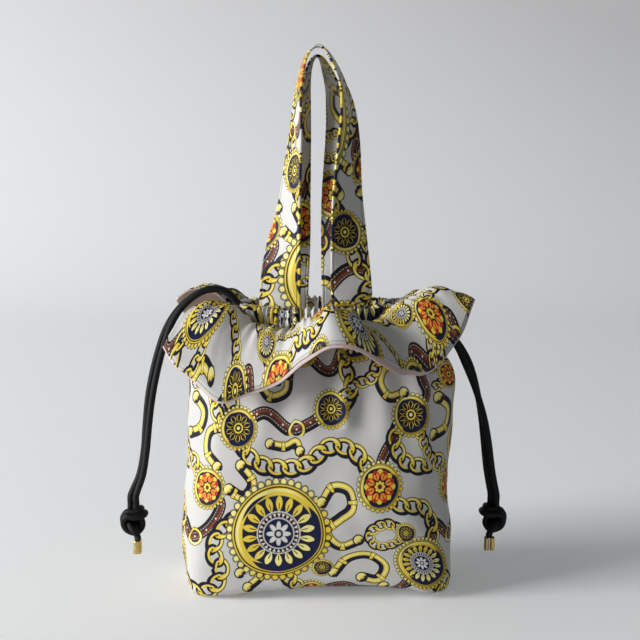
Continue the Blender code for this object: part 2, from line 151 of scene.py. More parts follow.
# The flounce's free edge, left to right: across, out from the neck's front, up from the seam,
# and how far the flounce bulges above the straight line to that place
FRONT_EDGE = [
    (-0.1225, 0.024, -0.0075, 0.025),
    (-0.1130, 0.030, -0.0215, 0.031),
    (-0.0995, 0.034, -0.0325, 0.035),
    (-0.078, 0.040, -0.049, 0.027),
    (-0.057, 0.041, -0.043, 0.020),
    (-0.031, 0.046, -0.031, 0.014),
    (-0.013, 0.056, -0.014, 0.012),
    (0.003, 0.064, -0.003, 0.013),
    (0.016, 0.066, 0.000, 0.018),
    (0.030, 0.063, -0.002, 0.021),
    (0.047, 0.056, -0.011, 0.021),
    (0.062, 0.046, -0.021, 0.017),
    (0.071, 0.035, -0.025, 0.014),
    (0.085, 0.032, -0.028, 0.021),
    (0.096, 0.031, -0.021, 0.027),
    (0.1055, 0.027, -0.010, 0.030),
    (0.1160, 0.020, 0.0045, 0.027),
    (0.1250, 0.010, 0.0285, 0.014),
]
BACK_EDGE = [
    (-0.119, -0.018, 0.021, 0.017),
    (-0.112, 0.000, 0.002, 0.025),
    (-0.100, 0.018, -0.024, 0.027),
    (-0.080, 0.034, -0.043, 0.022),
    (-0.052, 0.040, -0.038, 0.015),
    (-0.024, 0.048, -0.022, 0.010),
    (0.004, 0.056, -0.014, 0.009),
    (0.032, 0.052, -0.022, 0.012),
    (0.058, 0.040, -0.038, 0.018),
    (0.083, 0.030, -0.044, 0.026),
    (0.103, 0.012, -0.028, 0.029),
    (0.114, -0.010, -0.008, 0.026),
]

# How far the lining shows past the flounce's edge: on the front where it turns back, across and how far,
# and everywhere on the back
LINING_SHOWS = [
    (-0.126, 0.0012), (-0.090, 0.0012), (-0.050, 0.0024), (-0.015, 0.0036), (0.005, 0.0026), (0.030, 0.0032),
    (0.055, 0.0062), (0.074, 0.0042), (0.090, 0.0012), (0.126, 0.0012),
]
BACK_LINING_SHOWS = 0.0012

# The flounce's gathers: fine ones at its root and broad ones below. How many, how high, how fast they fade.
# Then its own softness, and how many columns and rows it is made of
FINE_GATHERS = (30, 0.0036, 2.4)
BROAD_GATHERS = (9, 0.0042, 1.1)
FLOUNCE_SOFTNESS = 0.0016
FLOUNCE_COLUMNS = 241
FLOUNCE_ROWS = 30

# Where the flounce and the casing lie on the print, in metres
FLOUNCE_PRINT_WIDTH = 0.46
FLOUNCE_PRINT_TOP = 0.293
CASING_PRINT = (0.015, 0.030)
CASING_PRINT_WIDTH = 0.24

# The casing's pleats along it, and the columns and sides that it is made of
CASING_PLEATS = 31
CASING_COLUMNS = 289
CASING_SIDES = 32

# The straps: how high they rise, how much of them is sewn in, their rounded edge, how hollow their legs are,
# the columns they are made of, and how far across the print each is cut
HANDLE_RISE = 0.2265
STRAP_SEWN = 0.016
STRAP_EDGE = 0.0007
STRAP_HOLLOW = 0.0016
STRAP_COLUMNS = 17
FRONT_STRAP_PRINT = -0.078
BACK_STRAP_PRINT = 0.052

# Each strap's middle line: share of the rise, across, in from where it is sewn, and its turn in degrees
FRONT_STRAP = [
    (0.000, -0.0305, 0.000, 0),
    (0.060, -0.0305, 0.000, 0),
    (0.130, -0.0303, 0.002, 5),
    (0.280, -0.0280, 0.004, 32),
    (0.430, -0.0232, 0.006, 56),
    (0.680, -0.0180, 0.009, 72),
    (0.820, -0.0160, 0.011, 80),
    (0.905, -0.0128, 0.012, 84),
    (0.960, -0.0092, 0.012, 87),
    (0.993, -0.0035, 0.012, 89),
    (0.999, 0.0015, 0.012, 91),
    (0.985, 0.0065, 0.012, 93),
    (0.950, 0.0120, 0.012, 95),
    (0.905, 0.0170, 0.012, 97),
    (0.860, 0.0208, 0.012, 99),
    (0.815, 0.0234, 0.011, 105),
    (0.740, 0.0252, 0.010, 114),
    (0.640, 0.0252, 0.009, 124),
    (0.475, 0.0243, 0.006, 136),
    (0.280, 0.0260, 0.004, 154),
    (0.130, 0.0276, 0.002, 175),
    (0.060, 0.0278, 0.000, 180),
    (0.000, 0.0278, 0.000, 180),
]
BACK_STRAP = [
    (0.000, -0.0244, 0.000, 0),
    (0.060, -0.0244, 0.000, 0),
    (0.130, -0.0243, 0.002, 5),
    (0.280, -0.0215, 0.004, 25),
    (0.430, -0.0175, 0.006, 48),
    (0.680, -0.0128, 0.009, 66),
    (0.820, -0.0104, 0.011, 76),
    (0.890, -0.0086, 0.012, 82),
    (0.940, -0.0058, 0.012, 86),
    (0.966, -0.0018, 0.012, 90),
    (0.960, 0.0028, 0.012, 94),
    (0.925, 0.0070, 0.012, 101),
    (0.880, 0.0108, 0.012, 107),
    (0.840, 0.0134, 0.012, 112),
    (0.780, 0.0155, 0.011, 119),
    (0.680, 0.0170, 0.009, 127),
    (0.460, 0.0165, 0.006, 140),
    (0.280, 0.0185, 0.004, 158),
    (0.130, 0.0200, 0.002, 175),
    (0.060, 0.0202, 0.000, 180),
    (0.000, 0.0202, 0.000, 180),
]

# The free cords' middle line, from the slit down to the knot: across, back and up, and how far the pair is
# turned there from lying front to back, in degrees
LEFT_TAIL = [
    (-0.0655, 0.0000, 0.2370, 0),
    (-0.0710, 0.0000, 0.2440, 0),
    (-0.0785, 0.0000, 0.2490, 0),
    (-0.0870, 0.0000, 0.2500, 0),
    (-0.0960, -0.0005, 0.2478, 0),
    (-0.1060, -0.0010, 0.2415, -6),
    (-0.1160, -0.0020, 0.2315, -16),
    (-0.1240, -0.0030, 0.2180, -28),
    (-0.1300, -0.0040, 0.2010, -36),
    (-0.1355, -0.0050, 0.1800, -38),
    (-0.1395, -0.0060, 0.1590, -36),
    (-0.1420, -0.0070, 0.1370, -30),
    (-0.1440, -0.0080, 0.1150, -26),
    (-0.1475, -0.0085, 0.0950, -30),
    (-0.1525, -0.0090, 0.0820, -40),
    (-0.1545, -0.0090, 0.0760, -48),
    (-0.1545, -0.0090, 0.0705, -52),
]
RIGHT_TAIL = [
    (0.0655, 0.0000, 0.2264, 0),
    (0.0715, 0.0010, 0.2262, 0),
    (0.0790, 0.0025, 0.2264, 0),
    (0.0880, 0.0040, 0.2256, 0),
    (0.0980, 0.0050, 0.2215, 0),
    (0.1080, 0.0060, 0.2135, 10),
    (0.1180, 0.0065, 0.2010, 24),
    (0.1260, 0.0060, 0.1850, 36),
    (0.1330, 0.0055, 0.1650, 12),
    (0.1385, 0.0050, 0.1430, -14),
    (0.1420, 0.0050, 0.1210, -32),
    (0.1445, 0.0050, 0.1000, -38),
    (0.1470, 0.0050, 0.0850, -40),
    (0.1490, 0.0050, 0.0750, -42),
    (0.1490, 0.0050, 0.0690, -42),
]

# How far apart the two strands of a pair run, and the pitch of the cord's braid
STRAND_SPACING = 0.0066
BRAID_PITCH = 0.0011

# The knot's two strands: how far each lies from their middle and how thick it is, in the knot and below it
KNOT_OFFSET = 0.00245
KNOT_RADIUS = 0.00285
END_OFFSET = 0.0024
END_RADIUS = 0.0019

# An overhand knot around its middle, from the cords above it to the tips below it, in the strand's
# diameters, how much tighter its heart is drawn, its points, and those of them that lead in and out
KNOT_STRAND = 0.0059
KNOT_DRAWN = 0.14
KNOT_POINTS = 150
KNOT_LEADS = 40
KNOT_ROUTE = [
    (0.08, 0.00, 2.54),
    (0.08, 0.01, 2.10),
    (0.07, 0.10, 1.63),
    (0.78, 0.31, 0.54),
    (1.25, 0.24, -0.64),
    (0.34, 0.03, -1.59),
    (-1.12, -0.25, -1.05),
    (-1.53, -0.51, 0.17),
    (-0.81, -0.93, 1.12),
    (0.34, -1.12, 1.05),
    (1.42, -0.78, 1.25),
    (1.59, 0.51, 1.36),
    (0.68, 1.42, 0.95),
    (-0.41, 1.02, 0.27),
    (-0.24, -0.27, -0.27),
    (0.20, -1.15, -0.88),
    (0.71, -1.19, -2.00),
    (0.71, -1.19, -2.46),
]

# The brass tubes: their walls, and two crimped rings up them with their depth and half width as shares
TIP_WALL = 0.0004
CRIMPS = (0.62, 0.80)
CRIMP_DEPTH = 0.09
CRIMP_WIDTH = 0.05

# The print's repeat on the flat cloth, and what lies in it, in millimetres across and up. Everything repeats
REPEAT = (236.0, 262.0)
REPEATS = [Vector((right * REPEAT[0], up * REPEAT[1], 0)) for right in (-1, 0, 1) for up in (-1, 0, 1)]

# Rosettes: kind (1 gold, 2 red, 3 small pendant), middle, radius. A rod's loose end has a ball, kind 4, and
# its radius is this many of the rod's half widths
BALL = 4
BALL_SIZE = 1.5
ROSETTES = [
    (1, -34, 62, 46),
    (2, 57, 101, 21),
    (3, -74, 148, 18),
    (3, 12, 164, 16),
    (3, 84, 158, 18),
    (2, -101, 98, 18),
    (1, 91, 33, 25),
    (2, -72, 226, 22),
    (1, 42, 232, 29),
    (3, 110, 208, 17),
    (3, -14, 213, 15),
    (2, -6, -2, 15),
    (3, 4, 26, 10),
    (2, -110, 188, 11),
    (3, 78, 62, 9),
    (1, -98, 250, 15),
]

# Chains: how long a link is, and the points that the chain follows
CHAINS = [
    (13.2, [(-74, 148), (-64, 127), (-42, 117), (-12, 119), (10, 134), (32, 130), (48, 114), (57, 101)]),
    (13.2, [
        (-34, 66), (-66, 74), (-84, 64), (-92, 46), (-84, 30), (-92, 14), (-110, 10), (-132, 24), (-145, 33),
    ]),
    (12.2, [(57, 101), (74, 86), (98, 82), (104, 62), (91, 33)]),
    (12.2, [(84, 158), (68, 142), (78, 122), (98, 116), (116, 118), (135, 98)]),
    (13.2, [(12, 164), (30, 178), (26, 204), (42, 232)]),
    (12.2, [(-74, 148), (-96, 162), (-94, 190), (-72, 226)]),
    (13.2, [(-72, 226), (-46, 244), (-16, 236), (10, 246), (42, 232)]),
    (11.0, [(42, 232), (70, 248), (94, 234), (110, 208)]),
    (12.2, [(110, 208), (128, 190), (150, 178), (162, 148)]),
    (12.2, [(-34, 66), (-26, 20), (-6, -2), (20, -16), (42, -30)]),
    (11.0, [(91, 33), (110, 8), (132, -12), (164, -36)]),
    (9.0, [(-101, 98), (-118, 112), (-134, 126), (-152, 158)]),
    (8.0, [(-72, 226), (-92, 214), (-110, 188), (-126, 178)]),
    (8.0, [(78, 62), (62, 70), (46, 62), (52, 50), (66, 52), (78, 62)]),
    (9.0, [(42, 232), (60, 214), (50, 190), (32, 182), (12, 164)]),
    (8.0, [(-98, 250), (-80, 262), (-58, 262), (-40, 252)]),
]

# Straps: kind (1 brown leather, 2 gold rod), half width, and the points that the strap follows
ROD = 2
STRAPS = [
    (1, 4.2, [(-74, 148), (-50, 162), (-26, 148), (-10, 152), (12, 164)]),
    (1, 4.2, [(57, 101), (58, 124), (70, 144), (84, 158)]),
    (1, 4.0, [(-101, 98), (-86, 86), (-96, 66), (-114, 56), (-130, 66), (-145, 33)]),
    (2, 3.6, [(4, 88), (14, 101), (29, 98), (32, 83), (20, 74), (8, 64), (20, 50), (36, 56)]),
    (2, 3.4, [(-92, 116), (-104, 128), (-102, 144), (-88, 150)]),
    (2, 3.6, [(14, 20), (26, 36), (44, 40), (58, 28), (52, 12), (38, 14)]),
    (1, 4.0, [(-6, -2), (22, 6), (48, -6), (70, 4), (91, 33)]),
    (2, 3.4, [(78, 200), (64, 198), (56, 186), (64, 174), (78, 176)]),
    (1, 4.2, [(-72, 226), (-58, 202), (-38, 188), (-14, 213)]),
    (1, 4.2, [(-14, 213), (10, 196), (24, 210), (42, 232)]),
    (2, 3.4, [(-54, 184), (-44, 174), (-30, 178), (-28, 192)]),
    (2, 3.6, [(-70, 118), (-58, 104), (-66, 92), (-80, 98)]),
    (1, 4.0, [(110, 208), (124, 224), (140, 206), (164, 226)]),
    (2, 3.6, [(108, 140), (122, 146), (126, 160), (114, 170)]),
    (2, 3.4, [(-62, 12), (-50, 22), (-56, 34), (-68, 26)]),
    (1, 4.4, [(-110, 188), (-84, 178), (-66, 186), (-50, 214), (-72, 226)]),
    (2, 3.2, [(-44, 136), (-30, 134), (-20, 138), (-16, 130)]),
    (1, 4.0, [(110, 208), (96, 190), (100, 174), (84, 158)]),
    (2, 3.4, [(20, 252), (34, 262), (52, 256), (58, 268)]),
]

# The hems: how far in from the edge the pressed line lies, in millimetres, and the mark that the edge itself
# has, so that cloth with no mark has no hem
HEM_LINE = (2.0, 3.1)
HEM_EDGE = 100

# The camera
LENS_MM = 88.0
CAMERA_DISTANCE = 1.30
CAMERA_ELEVATION = 8.0
CAMERA_TARGET = (0.002, 0.0, 0.2240)

# The stage: a floor that curves up into a wall
FLOOR_FRONT = -4.0
FLOOR_BACK = 1.6
CURVE = 1.2
WALL_TOP = 3.2
STAGE_SIDE = 4.5

# Its lights: name, place, size, power and colour
LIGHTS = [
    ("window", (-3.46, -1.30, 1.06), 1.9, 206.0, (1.0, 0.99, 0.98)),
    ("room", (1.1, -3.4, 2.6), 3.0, 5.0, (1.0, 0.98, 0.96)),
]
LIGHTS_AIM = Vector((0, 0, 0.18))


class PouchSizes(bpy.types.PropertyGroup):
    """The sizes of cloth, cord and gathers that a maker would change."""

    cloth: bpy.props.FloatProperty(
        name="Cloth", description="Thickness of the printed cloth", default=0.0008, unit="LENGTH"
    )
    lining: bpy.props.FloatProperty(
        name="Lining", description="Thickness of the lining", default=0.0006, unit="LENGTH"
    )
    strap_width: bpy.props.FloatProperty(
        name="Strap width", description="Width of a handle's strap", default=0.0335, unit="LENGTH"
    )
    strap_thickness: bpy.props.FloatProperty(
        name="Strap thickness", description="Thickness of a folded strap", default=0.0020, unit="LENGTH"
    )
    cord: bpy.props.FloatProperty(
        name="Cord", description="Diameter of the drawstrings", default=0.0055, unit="LENGTH"
    )
    neck_pleat: bpy.props.FloatProperty(
        name="Neck pleat", description="Depth of the pleats at the neck", default=0.0030, unit="LENGTH"
    )
    ruffle: bpy.props.FloatProperty(
        name="Ruffle", description="Height of the casing's ruffles", default=0.0021, unit="LENGTH"
    )


class PouchColours(bpy.types.PropertyGroup):
    """The colours of the print, the lining, the cords and the brass, as linear red, green and blue."""

    ground: bpy.props.FloatVectorProperty(
        name="Ground", description="The satin's own grey", subtype="COLOR", default=(0.580, 0.576, 0.560)
    )
    gold: bpy.props.FloatVectorProperty(
        name="Gold", description="The print's yellow", subtype="COLOR", default=(0.80, 0.60, 0.060)
    )
    pale_gold: bpy.props.FloatVectorProperty(
        name="Pale gold", description="The print's highlights", subtype="COLOR", default=(0.88, 0.80, 0.30)
    )
    navy: bpy.props.FloatVectorProperty(
        name="Navy", description="The print's shadows", subtype="COLOR", default=(0.003, 0.007, 0.046)
    )
    brown: bpy.props.FloatVectorProperty(
        name="Brown", description="The print's leather", subtype="COLOR", default=(0.085, 0.025, 0.011)
    )
    red: bpy.props.FloatVectorProperty(
        name="Red", description="The print's red", subtype="COLOR", default=(0.55, 0.035, 0.015)
    )
    orange: bpy.props.FloatVectorProperty(
        name="Orange", description="The print's orange", subtype="COLOR", default=(0.83, 0.30, 0.035)
    )
    lining: bpy.props.FloatVectorProperty(
        name="Lining", description="The lining's pinkish beige", subtype="COLOR", default=(0.62, 0.49, 0.46)
    )
    cord: bpy.props.FloatVectorProperty(
        name="Cord", description="The black cords", subtype="COLOR", default=(0.0050, 0.0056, 0.0072)
    )
    brass: bpy.props.FloatVectorProperty(
        name="Brass", description="The cords' tips", subtype="COLOR", default=(0.78, 0.57, 0.20)
    )


def ease(value):
    """A soft step from 0 to 1."""
    value = min(max(value, 0.0), 1.0)
    return value * value * (3 - 2 * value)


def level(stations, height):
    """The value at this height, softly between the stations' own."""
    for (low, a), (high, b) in zip(stations, stations[1:]):
        if height <= high:
            return a + (b - a) * ease((height - low) / (high - low))
    return stations[-1][1]


def lengths(points):
    """How far along the line each point lies."""
    along = [0.0]
    for a, b in zip(points, points[1:]):
        along.append(along[-1] + (b - a).length)
    return along


def spaced(points, count, closed=False):
    """The line through these points again, as count points an even way apart."""
    line = [Vector(p) for p in points]
    if closed:
        line.append(line[0])
    along = lengths(line)
    steps = count if closed else count - 1
    found, place = [], 0
    for i in range(count):
        at = along[-1] * i / steps
        while place < len(line) - 2 and along[place + 1] < at:
            place += 1
        length = along[place + 1] - along[place]
        share = (at - along[place]) / length if length else 0.0
        found.append(line[place].lerp(line[place + 1], min(max(share, 0.0), 1.0)))
    return found


def smooth(points, per_span=8):
    """A smooth curve through these points, by the rule of Catmull and Rom."""
    p = [Vector(q) for q in points]
    p = [2 * p[0] - p[1], *p, 2 * p[-1] - p[-2]]
    found = []
    for a, b, c, d in zip(p, p[1:], p[2:], p[3:]):
        for i in range(per_span):
            t = i / per_span
            bend = (2 * a - 5 * b + 4 * c - d) * t**2 + (3 * b - a - 3 * c + d) * t**3
            found.append(0.5 * (2 * b + (c - a) * t + bend))
    return [*found, p[-2]]


def oval(half_width, half_depth, squareness, count, start=0.0, end=2 * math.pi):
    """Points of a rounded rectangle or a part of one, an even way apart, anticlockwise."""
    closed = end - start > 2 * math.pi - 1e-6
    fine, raw = 720, []
    power = 2 / squareness
    for i in range(fine + (0 if closed else 1)):
        turn = start + (end - start) * i / fine
        c, s = math.cos(turn), math.sin(turn)
        x = half_width * math.copysign(abs(c) ** power, c)
        y = half_depth * math.copysign(abs(s) ** power, s)
        raw.append((x, y, 0.0))
    return spaced(raw, count, closed)


def half_neck(front, count):
    """The neck's front or back half between the side slits, from left to right, with the way out."""
    start = math.asin((SIDE_SLIT / 2 / NECK_FRONT) ** (NECK_SQUARENESS / 2))
    if front:
        line = oval(NECK_SIDE, NECK_FRONT, NECK_SQUARENESS, count, math.pi + start, 2 * math.pi - start)
    else:
        line = oval(NECK_SIDE, NECK_FRONT, NECK_SQUARENESS, count, start, math.pi - start)[::-1]
    sign = 1 if front else -1
    found = []
    for i, place in enumerate(line):
        along = (line[min(i + 1, count - 1)] - line[max(i - 1, 0)]).normalized()
        found.append((place, sign * Vector((along.y, -along.x, 0))))
    return found


def neck_depth_at(across, inset):
    """How far the neck's inner side is from the middle, at this place across."""
    share = min(abs(across) / (NECK_SIDE - inset), 0.999)
    return (NECK_FRONT - inset) * (1 - share**NECK_SQUARENESS) ** (1 / NECK_SQUARENESS)


def heights(sizes):
    """The levels of the flounce's and the casing's seams, and the casing's half thickness and height."""
    half_thickness = sizes.cord / 2 + CORD_ROOM + sizes.cloth
    half_height = sizes.cord + 2 * CORD_ROOM + sizes.cloth
    frill_z = SEAM_Z + GAP + sizes.lining + GAP + sizes.cloth
    casing_z = frill_z + GAP + half_height
    return frill_z, casing_z, half_thickness, half_height


def wobble(x, y, size, seed=0.0):
    """A soft, repeatable unevenness between -1 and 1 whose swells are about this size."""
    return noise.noise(Vector((x / size, y / size, seed)))


def grid_normals(rows):
    """The way out of a grid of points at each of them."""
    found = []
    tall, wide = len(rows), len(rows[0])
    for j in range(tall):
        line = []
        for i in range(wide):
            along = rows[j][min(i + 1, wide - 1)] - rows[j][max(i - 1, 0)]
            up = rows[min(j + 1, tall - 1)][i] - rows[max(j - 1, 0)][i]
            line.append(along.cross(up).normalized())
        found.append(line)
    return found


def new_object(name, shape, finish):
    """A smooth object of this shape with its material, in the scene."""
    mesh = bpy.data.meshes.new(name)
    shape.to_mesh(mesh)
    shape.free()
    mesh.shade_smooth()
    mesh.materials.append(finish)
    obj = bpy.data.objects.new(name, mesh)
    bpy.context.scene.collection.objects.link(obj)
    return obj


def cloth_surface(name, rows, marks, finish, closed=False):
    """A surface through rows of points. Marks are their places on the flat cloth, as its UV map."""
    shape = bmesh.new()
    layer = shape.loops.layers.uv.new("cloth")
    grid = [[shape.verts.new(p) for p in row] for row in rows]
    across = len(rows[0]) if closed else len(rows[0]) - 1
    for j in range(len(rows) - 1):
        for i in range(across):
            k = (i + 1) % len(rows[0])
            face = shape.faces.new((grid[j][i], grid[j][k], grid[j + 1][k], grid[j + 1][i]))
            corners = (marks[j][i], marks[j][i + 1], marks[j + 1][i + 1], marks[j + 1][i])
            for loop, mark in zip(face.loops, corners):
                loop[layer].uv = mark
    return new_object(name, shape, finish)


def thicken(obj, thickness, side=-1.0):
    """Gives a surface its cloth's thickness: below it for -1, above it for 1, and both ways for 0."""
    made = obj.modifiers.new("cloth", "SOLIDIFY")
    made.thickness = thickness
    made.offset = side
    made.use_quality_normals = True
    bpy.context.view_layer.objects.active = obj
    bpy.ops.object.select_all(action="DESELECT")
    obj.select_set(True)
    bpy.ops.object.modifier_apply(modifier=made.name)


def tube(shape, points, radii, sides=14):
    """A round tube along these points, closed at both ends, with its UV map running around and along."""
    layer = shape.loops.layers.uv.verify()
    along = lengths(points)
    way = (points[1] - points[0]).normalized()
    across = way.orthogonal().normalized()
    rings = []
    for i, point in enumerate(points):
        new_way = (points[min(i + 1, len(points) - 1)] - points[max(i - 1, 0)]).normalized()
        across = (across - new_way * across.dot(new_way)).normalized()
        side = new_way.cross(across)
        ring = []
        for k in range(sides):
            turn = 2 * math.pi * k / sides
            out = math.cos(turn) * across + math.sin(turn) * side
            ring.append(shape.verts.new(point + radii[i] * out))
        rings.append(ring)
    for j in range(len(points) - 1):
        for k in range(sides):
            n = (k + 1) % sides
            face = shape.faces.new((rings[j][k], rings[j][n], rings[j + 1][n], rings[j + 1][k]))
            around = 2 * math.pi * radii[j]
            corners = ((k, j), (k + 1, j), (k + 1, j + 1), (k, j + 1))
            for loop, (a, b) in zip(face.loops, corners):
                loop[layer].uv = (around * a / sides, along[b])
    shape.faces.new(rings[0][::-1])
    shape.faces.new(rings[-1])


def dressed(obj, slot, *nodes):
    """The piece stands for these solids and moves with the body; the slot is not used."""
    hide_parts(*nodes)
    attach(obj, "root")


def paint(name):
    """The finished material of this name."""
    return bpy.data.materials[name]


def tail_path(mouth, way, route, strand, cord):
    """A free cord's line from the casing's mouth, through a quarter turn outwards and down to the knot."""
    begin = mouth + way * GAP
    straight = begin + way * cord * 0.9
    free = []
    for x, y, z, degrees in route:
        turn = math.radians(degrees)
        free.append(Vector((x + strand * math.sin(turn), y + strand * math.cos(turn), z)))
    return smooth([begin, straight, *free], 5)


def loop_points(leaves_left, up, casing_z):
    """The held loop of a drawstring, through both casings and across the far slit."""
    sign = -1 if leaves_left else 1
    mouth = math.asin(((SIDE_SLIT / 2 - GAP) / NECK_FRONT) ** (NECK_SQUARENESS / 2))
    line = oval(NECK_SIDE, NECK_FRONT, NECK_SQUARENESS, 97, mouth, 2 * math.pi - mouth)
    return [Vector((sign * p.x, p.y, casing_z + up)) for p in line]


def free_ends(route, loop, cord):
    """For each strand of a pair: front or back, the casing's mouth that it leaves, and its line."""
    for mouth, inner in ((loop[0], loop[1]), (loop[-1], loop[-2])):
        strand = math.copysign(STRAND_SPACING / 2, mouth.y)
        path = tail_path(mouth, (mouth - inner).normalized(), route, strand, cord)
        yield "front" if mouth.y < 0 else "back", mouth, path


def cord_sides(sizes):
    """For each side: its name, its route, its loop's points, and whether its knot is mirrored."""
    casing_z = heights(sizes)[1]
    spacing = sizes.cord + GAP
    return [
        ("left", LEFT_TAIL, loop_points(True, spacing / 2, casing_z), False),
        ("right", RIGHT_TAIL, loop_points(False, -spacing / 2, casing_z), True),
    ]


class POUCH_OT_camera(bpy.types.Operator):
    """Place the camera at the pouch's own viewing angle."""

    bl_idname = "pouch.camera"
    bl_label = "Camera"

    def execute(self, context):
        made = bpy.data.cameras.new("camera")
        made.lens = LENS_MM
        made.sensor_width = 36.0
        made.clip_end = 20.0
        camera = bpy.data.objects.new("camera", made)
        context.scene.collection.objects.link(camera)
        tilt = math.radians(CAMERA_ELEVATION)
        target = Vector(CAMERA_TARGET)
        camera.location = target + CAMERA_DISTANCE * Vector((0.0, -math.cos(tilt), math.sin(tilt)))
        camera.rotation_euler = (math.pi / 2 - tilt, 0.0, 0.0)
        context.scene.camera = camera
        context.scene.view_settings.view_transform = "Standard"
        return {"FINISHED"}


class POUCH_OT_cords(bpy.types.Operator):
    """Lay the two drawstrings in the casing and hang their free ends at the sides."""

    bl_idname = "pouch.cords"
    bl_label = "Cords"

    def execute(self, context):
        sizes = context.scene.pouch_sizes
        black = paint("black cord")
        radius = sizes.cord / 2
        for side_name, route, loop, _ in cord_sides(sizes):
            shape = bmesh.new()
            tube(shape, loop, [radius] * len(loop))
            held = new_object(side_name + "_held_cord", shape, black)
            dressed(held, "black_cord", side_name + "_drawstring")
            for place, _, path in free_ends(route, loop, sizes.cord):
                shape = bmesh.new()
                tube(shape, path, [radius] * len(path))
                name = f"{side_name}_{place}"
                free = new_object(name + "_free_cord", shape, black)
                dressed(free, "black_cord", name + "_tail")
        return {"FINISHED"}


class POUCH_OT_knots(bpy.types.Operator):
    """Tie each pair of cords in an overhand knot."""

    bl_idname = "pouch.knots"
    bl_label = "Knots"

    def execute(self, context):
        sizes = context.scene.pouch_sizes
        for side_name, route, _, mirrored in cord_sides(sizes):
            flip = -1 if mirrored else 1
            strand = []
            for x, y, z in KNOT_ROUTE:
                drawn = 1 - KNOT_DRAWN * (1 - ease((abs(z) - 1.3) / 0.5))
                strand.append(Vector((flip * x * drawn, y * drawn, z)) * KNOT_STRAND)
            middle = Vector(route[-1][:3]) - strand[0] - Vector((0, 0, GAP))
            line = spaced(smooth([middle + p for p in strand]), KNOT_POINTS)
            turn = math.radians(route[-1][3])
            start = Vector((math.sin(turn), math.cos(turn), 0))
            tie = line[KNOT_LEADS:-KNOT_LEADS]
            heart = sum(tie, Vector()) / len(tie)
            asides = self.sides_of(line, start, heart)
            shape = bmesh.new()
            for sign in (-1, 1):
                points, radii = [], []
                for i, (point, across) in enumerate(zip(line, asides)):
                    share = i / (len(line) - 1)
                    tied = ease(share / 0.12) * ease((1 - share) / 0.08)
                    loose = STRAND_SPACING / 2 if share < 0.5 else END_OFFSET
                    thin = sizes.cord / 2 if share < 0.5 else END_RADIUS
                    points.append(point + sign * across * (loose + (KNOT_OFFSET - loose) * tied))
                    radii.append(thin + (KNOT_RADIUS - thin) * tied)
                tube(shape, points, radii, 16)
            knot = new_object(side_name + "_overhand_knot", shape, paint("black cord"))
            dressed(knot, "black_cord", side_name + "_knot")
        return {"FINISHED"}

    def sides_of(self, line, start, heart):
        """The way from one strand to the other: across the route, and flat on the knot's outside."""
        found = [start]
        for i in range(1, len(line)):
            way = (line[min(i + 1, len(line) - 1)] - line[i - 1]).normalized()
            flat = way.cross(line[i] - heart)
            before = found[-1]
            if flat.dot(before) < 0:
                flat = -flat
            held = 0.90 if i > 12 else 1.0
            across = before * held + flat.normalized() * (1 - held)
            found.append((across - way * across.dot(way)).normalized())
        return found


class POUCH_OT_tips(bpy.types.Operator):
    """Crimp a brass tube on each of the four cord ends."""

    bl_idname = "pouch.tips"
    bl_label = "Brass tips"

    def execute(self, context):
        for side_name in ("left", "right"):
            for place in ("front", "back"):
                node = f"{side_name}_{place}_tip"
                low, high = (Vector(corner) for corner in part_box(node))
                size, middle = high - low, (high + low) / 2
                bpy.ops.object.select_all(action="DESELECT")
                bpy.ops.mesh.primitive_cylinder_add(
                    vertices=32, radius=0.5, depth=1.0, end_fill_type="NOTHING", location=(0, 0, 0)
                )
                obj = context.active_object
                obj.name = node.replace("tip", "brass_tube")
                bpy.ops.object.mode_set(mode="EDIT")
                bpy.ops.mesh.select_all(action="SELECT")
                bpy.ops.mesh.subdivide(number_cuts=9)
                bpy.ops.transform.resize(value=(size.x, size.y, size.z))
                bpy.ops.transform.translate(value=middle)
                bpy.ops.object.mode_set(mode="OBJECT")
                self.crimp(obj, low, high, middle)
                thicken(obj, TIP_WALL)
                obj.data.shade_smooth()
                obj.data.materials.append(paint("brass"))
                dressed(obj, "brass_tips", node)
        self.declare_cords(context.scene.pouch_sizes)
        return {"FINISHED"}

    def declare_cords(self, sizes):
        """Works out whether each free cord lies in front and how long it is, and keeps neither."""
        for side_name, route, loop, _ in cord_sides(sizes):
            for place, mouth, path in free_ends(route, loop, sizes.cord):
                place == "front"
                lengths(path)[-1]

    def crimp(self, obj, low, high, middle):
        """Pinches rings around the tube."""
        for vertex in obj.data.vertices:
            share = (vertex.co.z - low.z) / (high.z - low.z)
            pinch = 0.0
            for place in CRIMPS:
                pinch += CRIMP_DEPTH * math.exp(-(((share - place) / CRIMP_WIDTH) ** 2))
            vertex.co.x = middle.x + (vertex.co.x - middle.x) * (1 - pinch)
            vertex.co.y = middle.y + (vertex.co.y - middle.y) * (1 - pinch)


def body_row(half_left, half_right, half_depth, squareness, count):
    """One ring of the body, from the middle of the back, anticlockwise."""
    ring = []
    start = math.pi / 2
    for place in oval(1.0, half_depth / half_left, squareness, count, start, start + 2 * math.pi):
        across = half_left if place.x < 0 else half_right
        ring.append(Vector((place.x * across, place.y * half_left, 0.0)))
    return ring


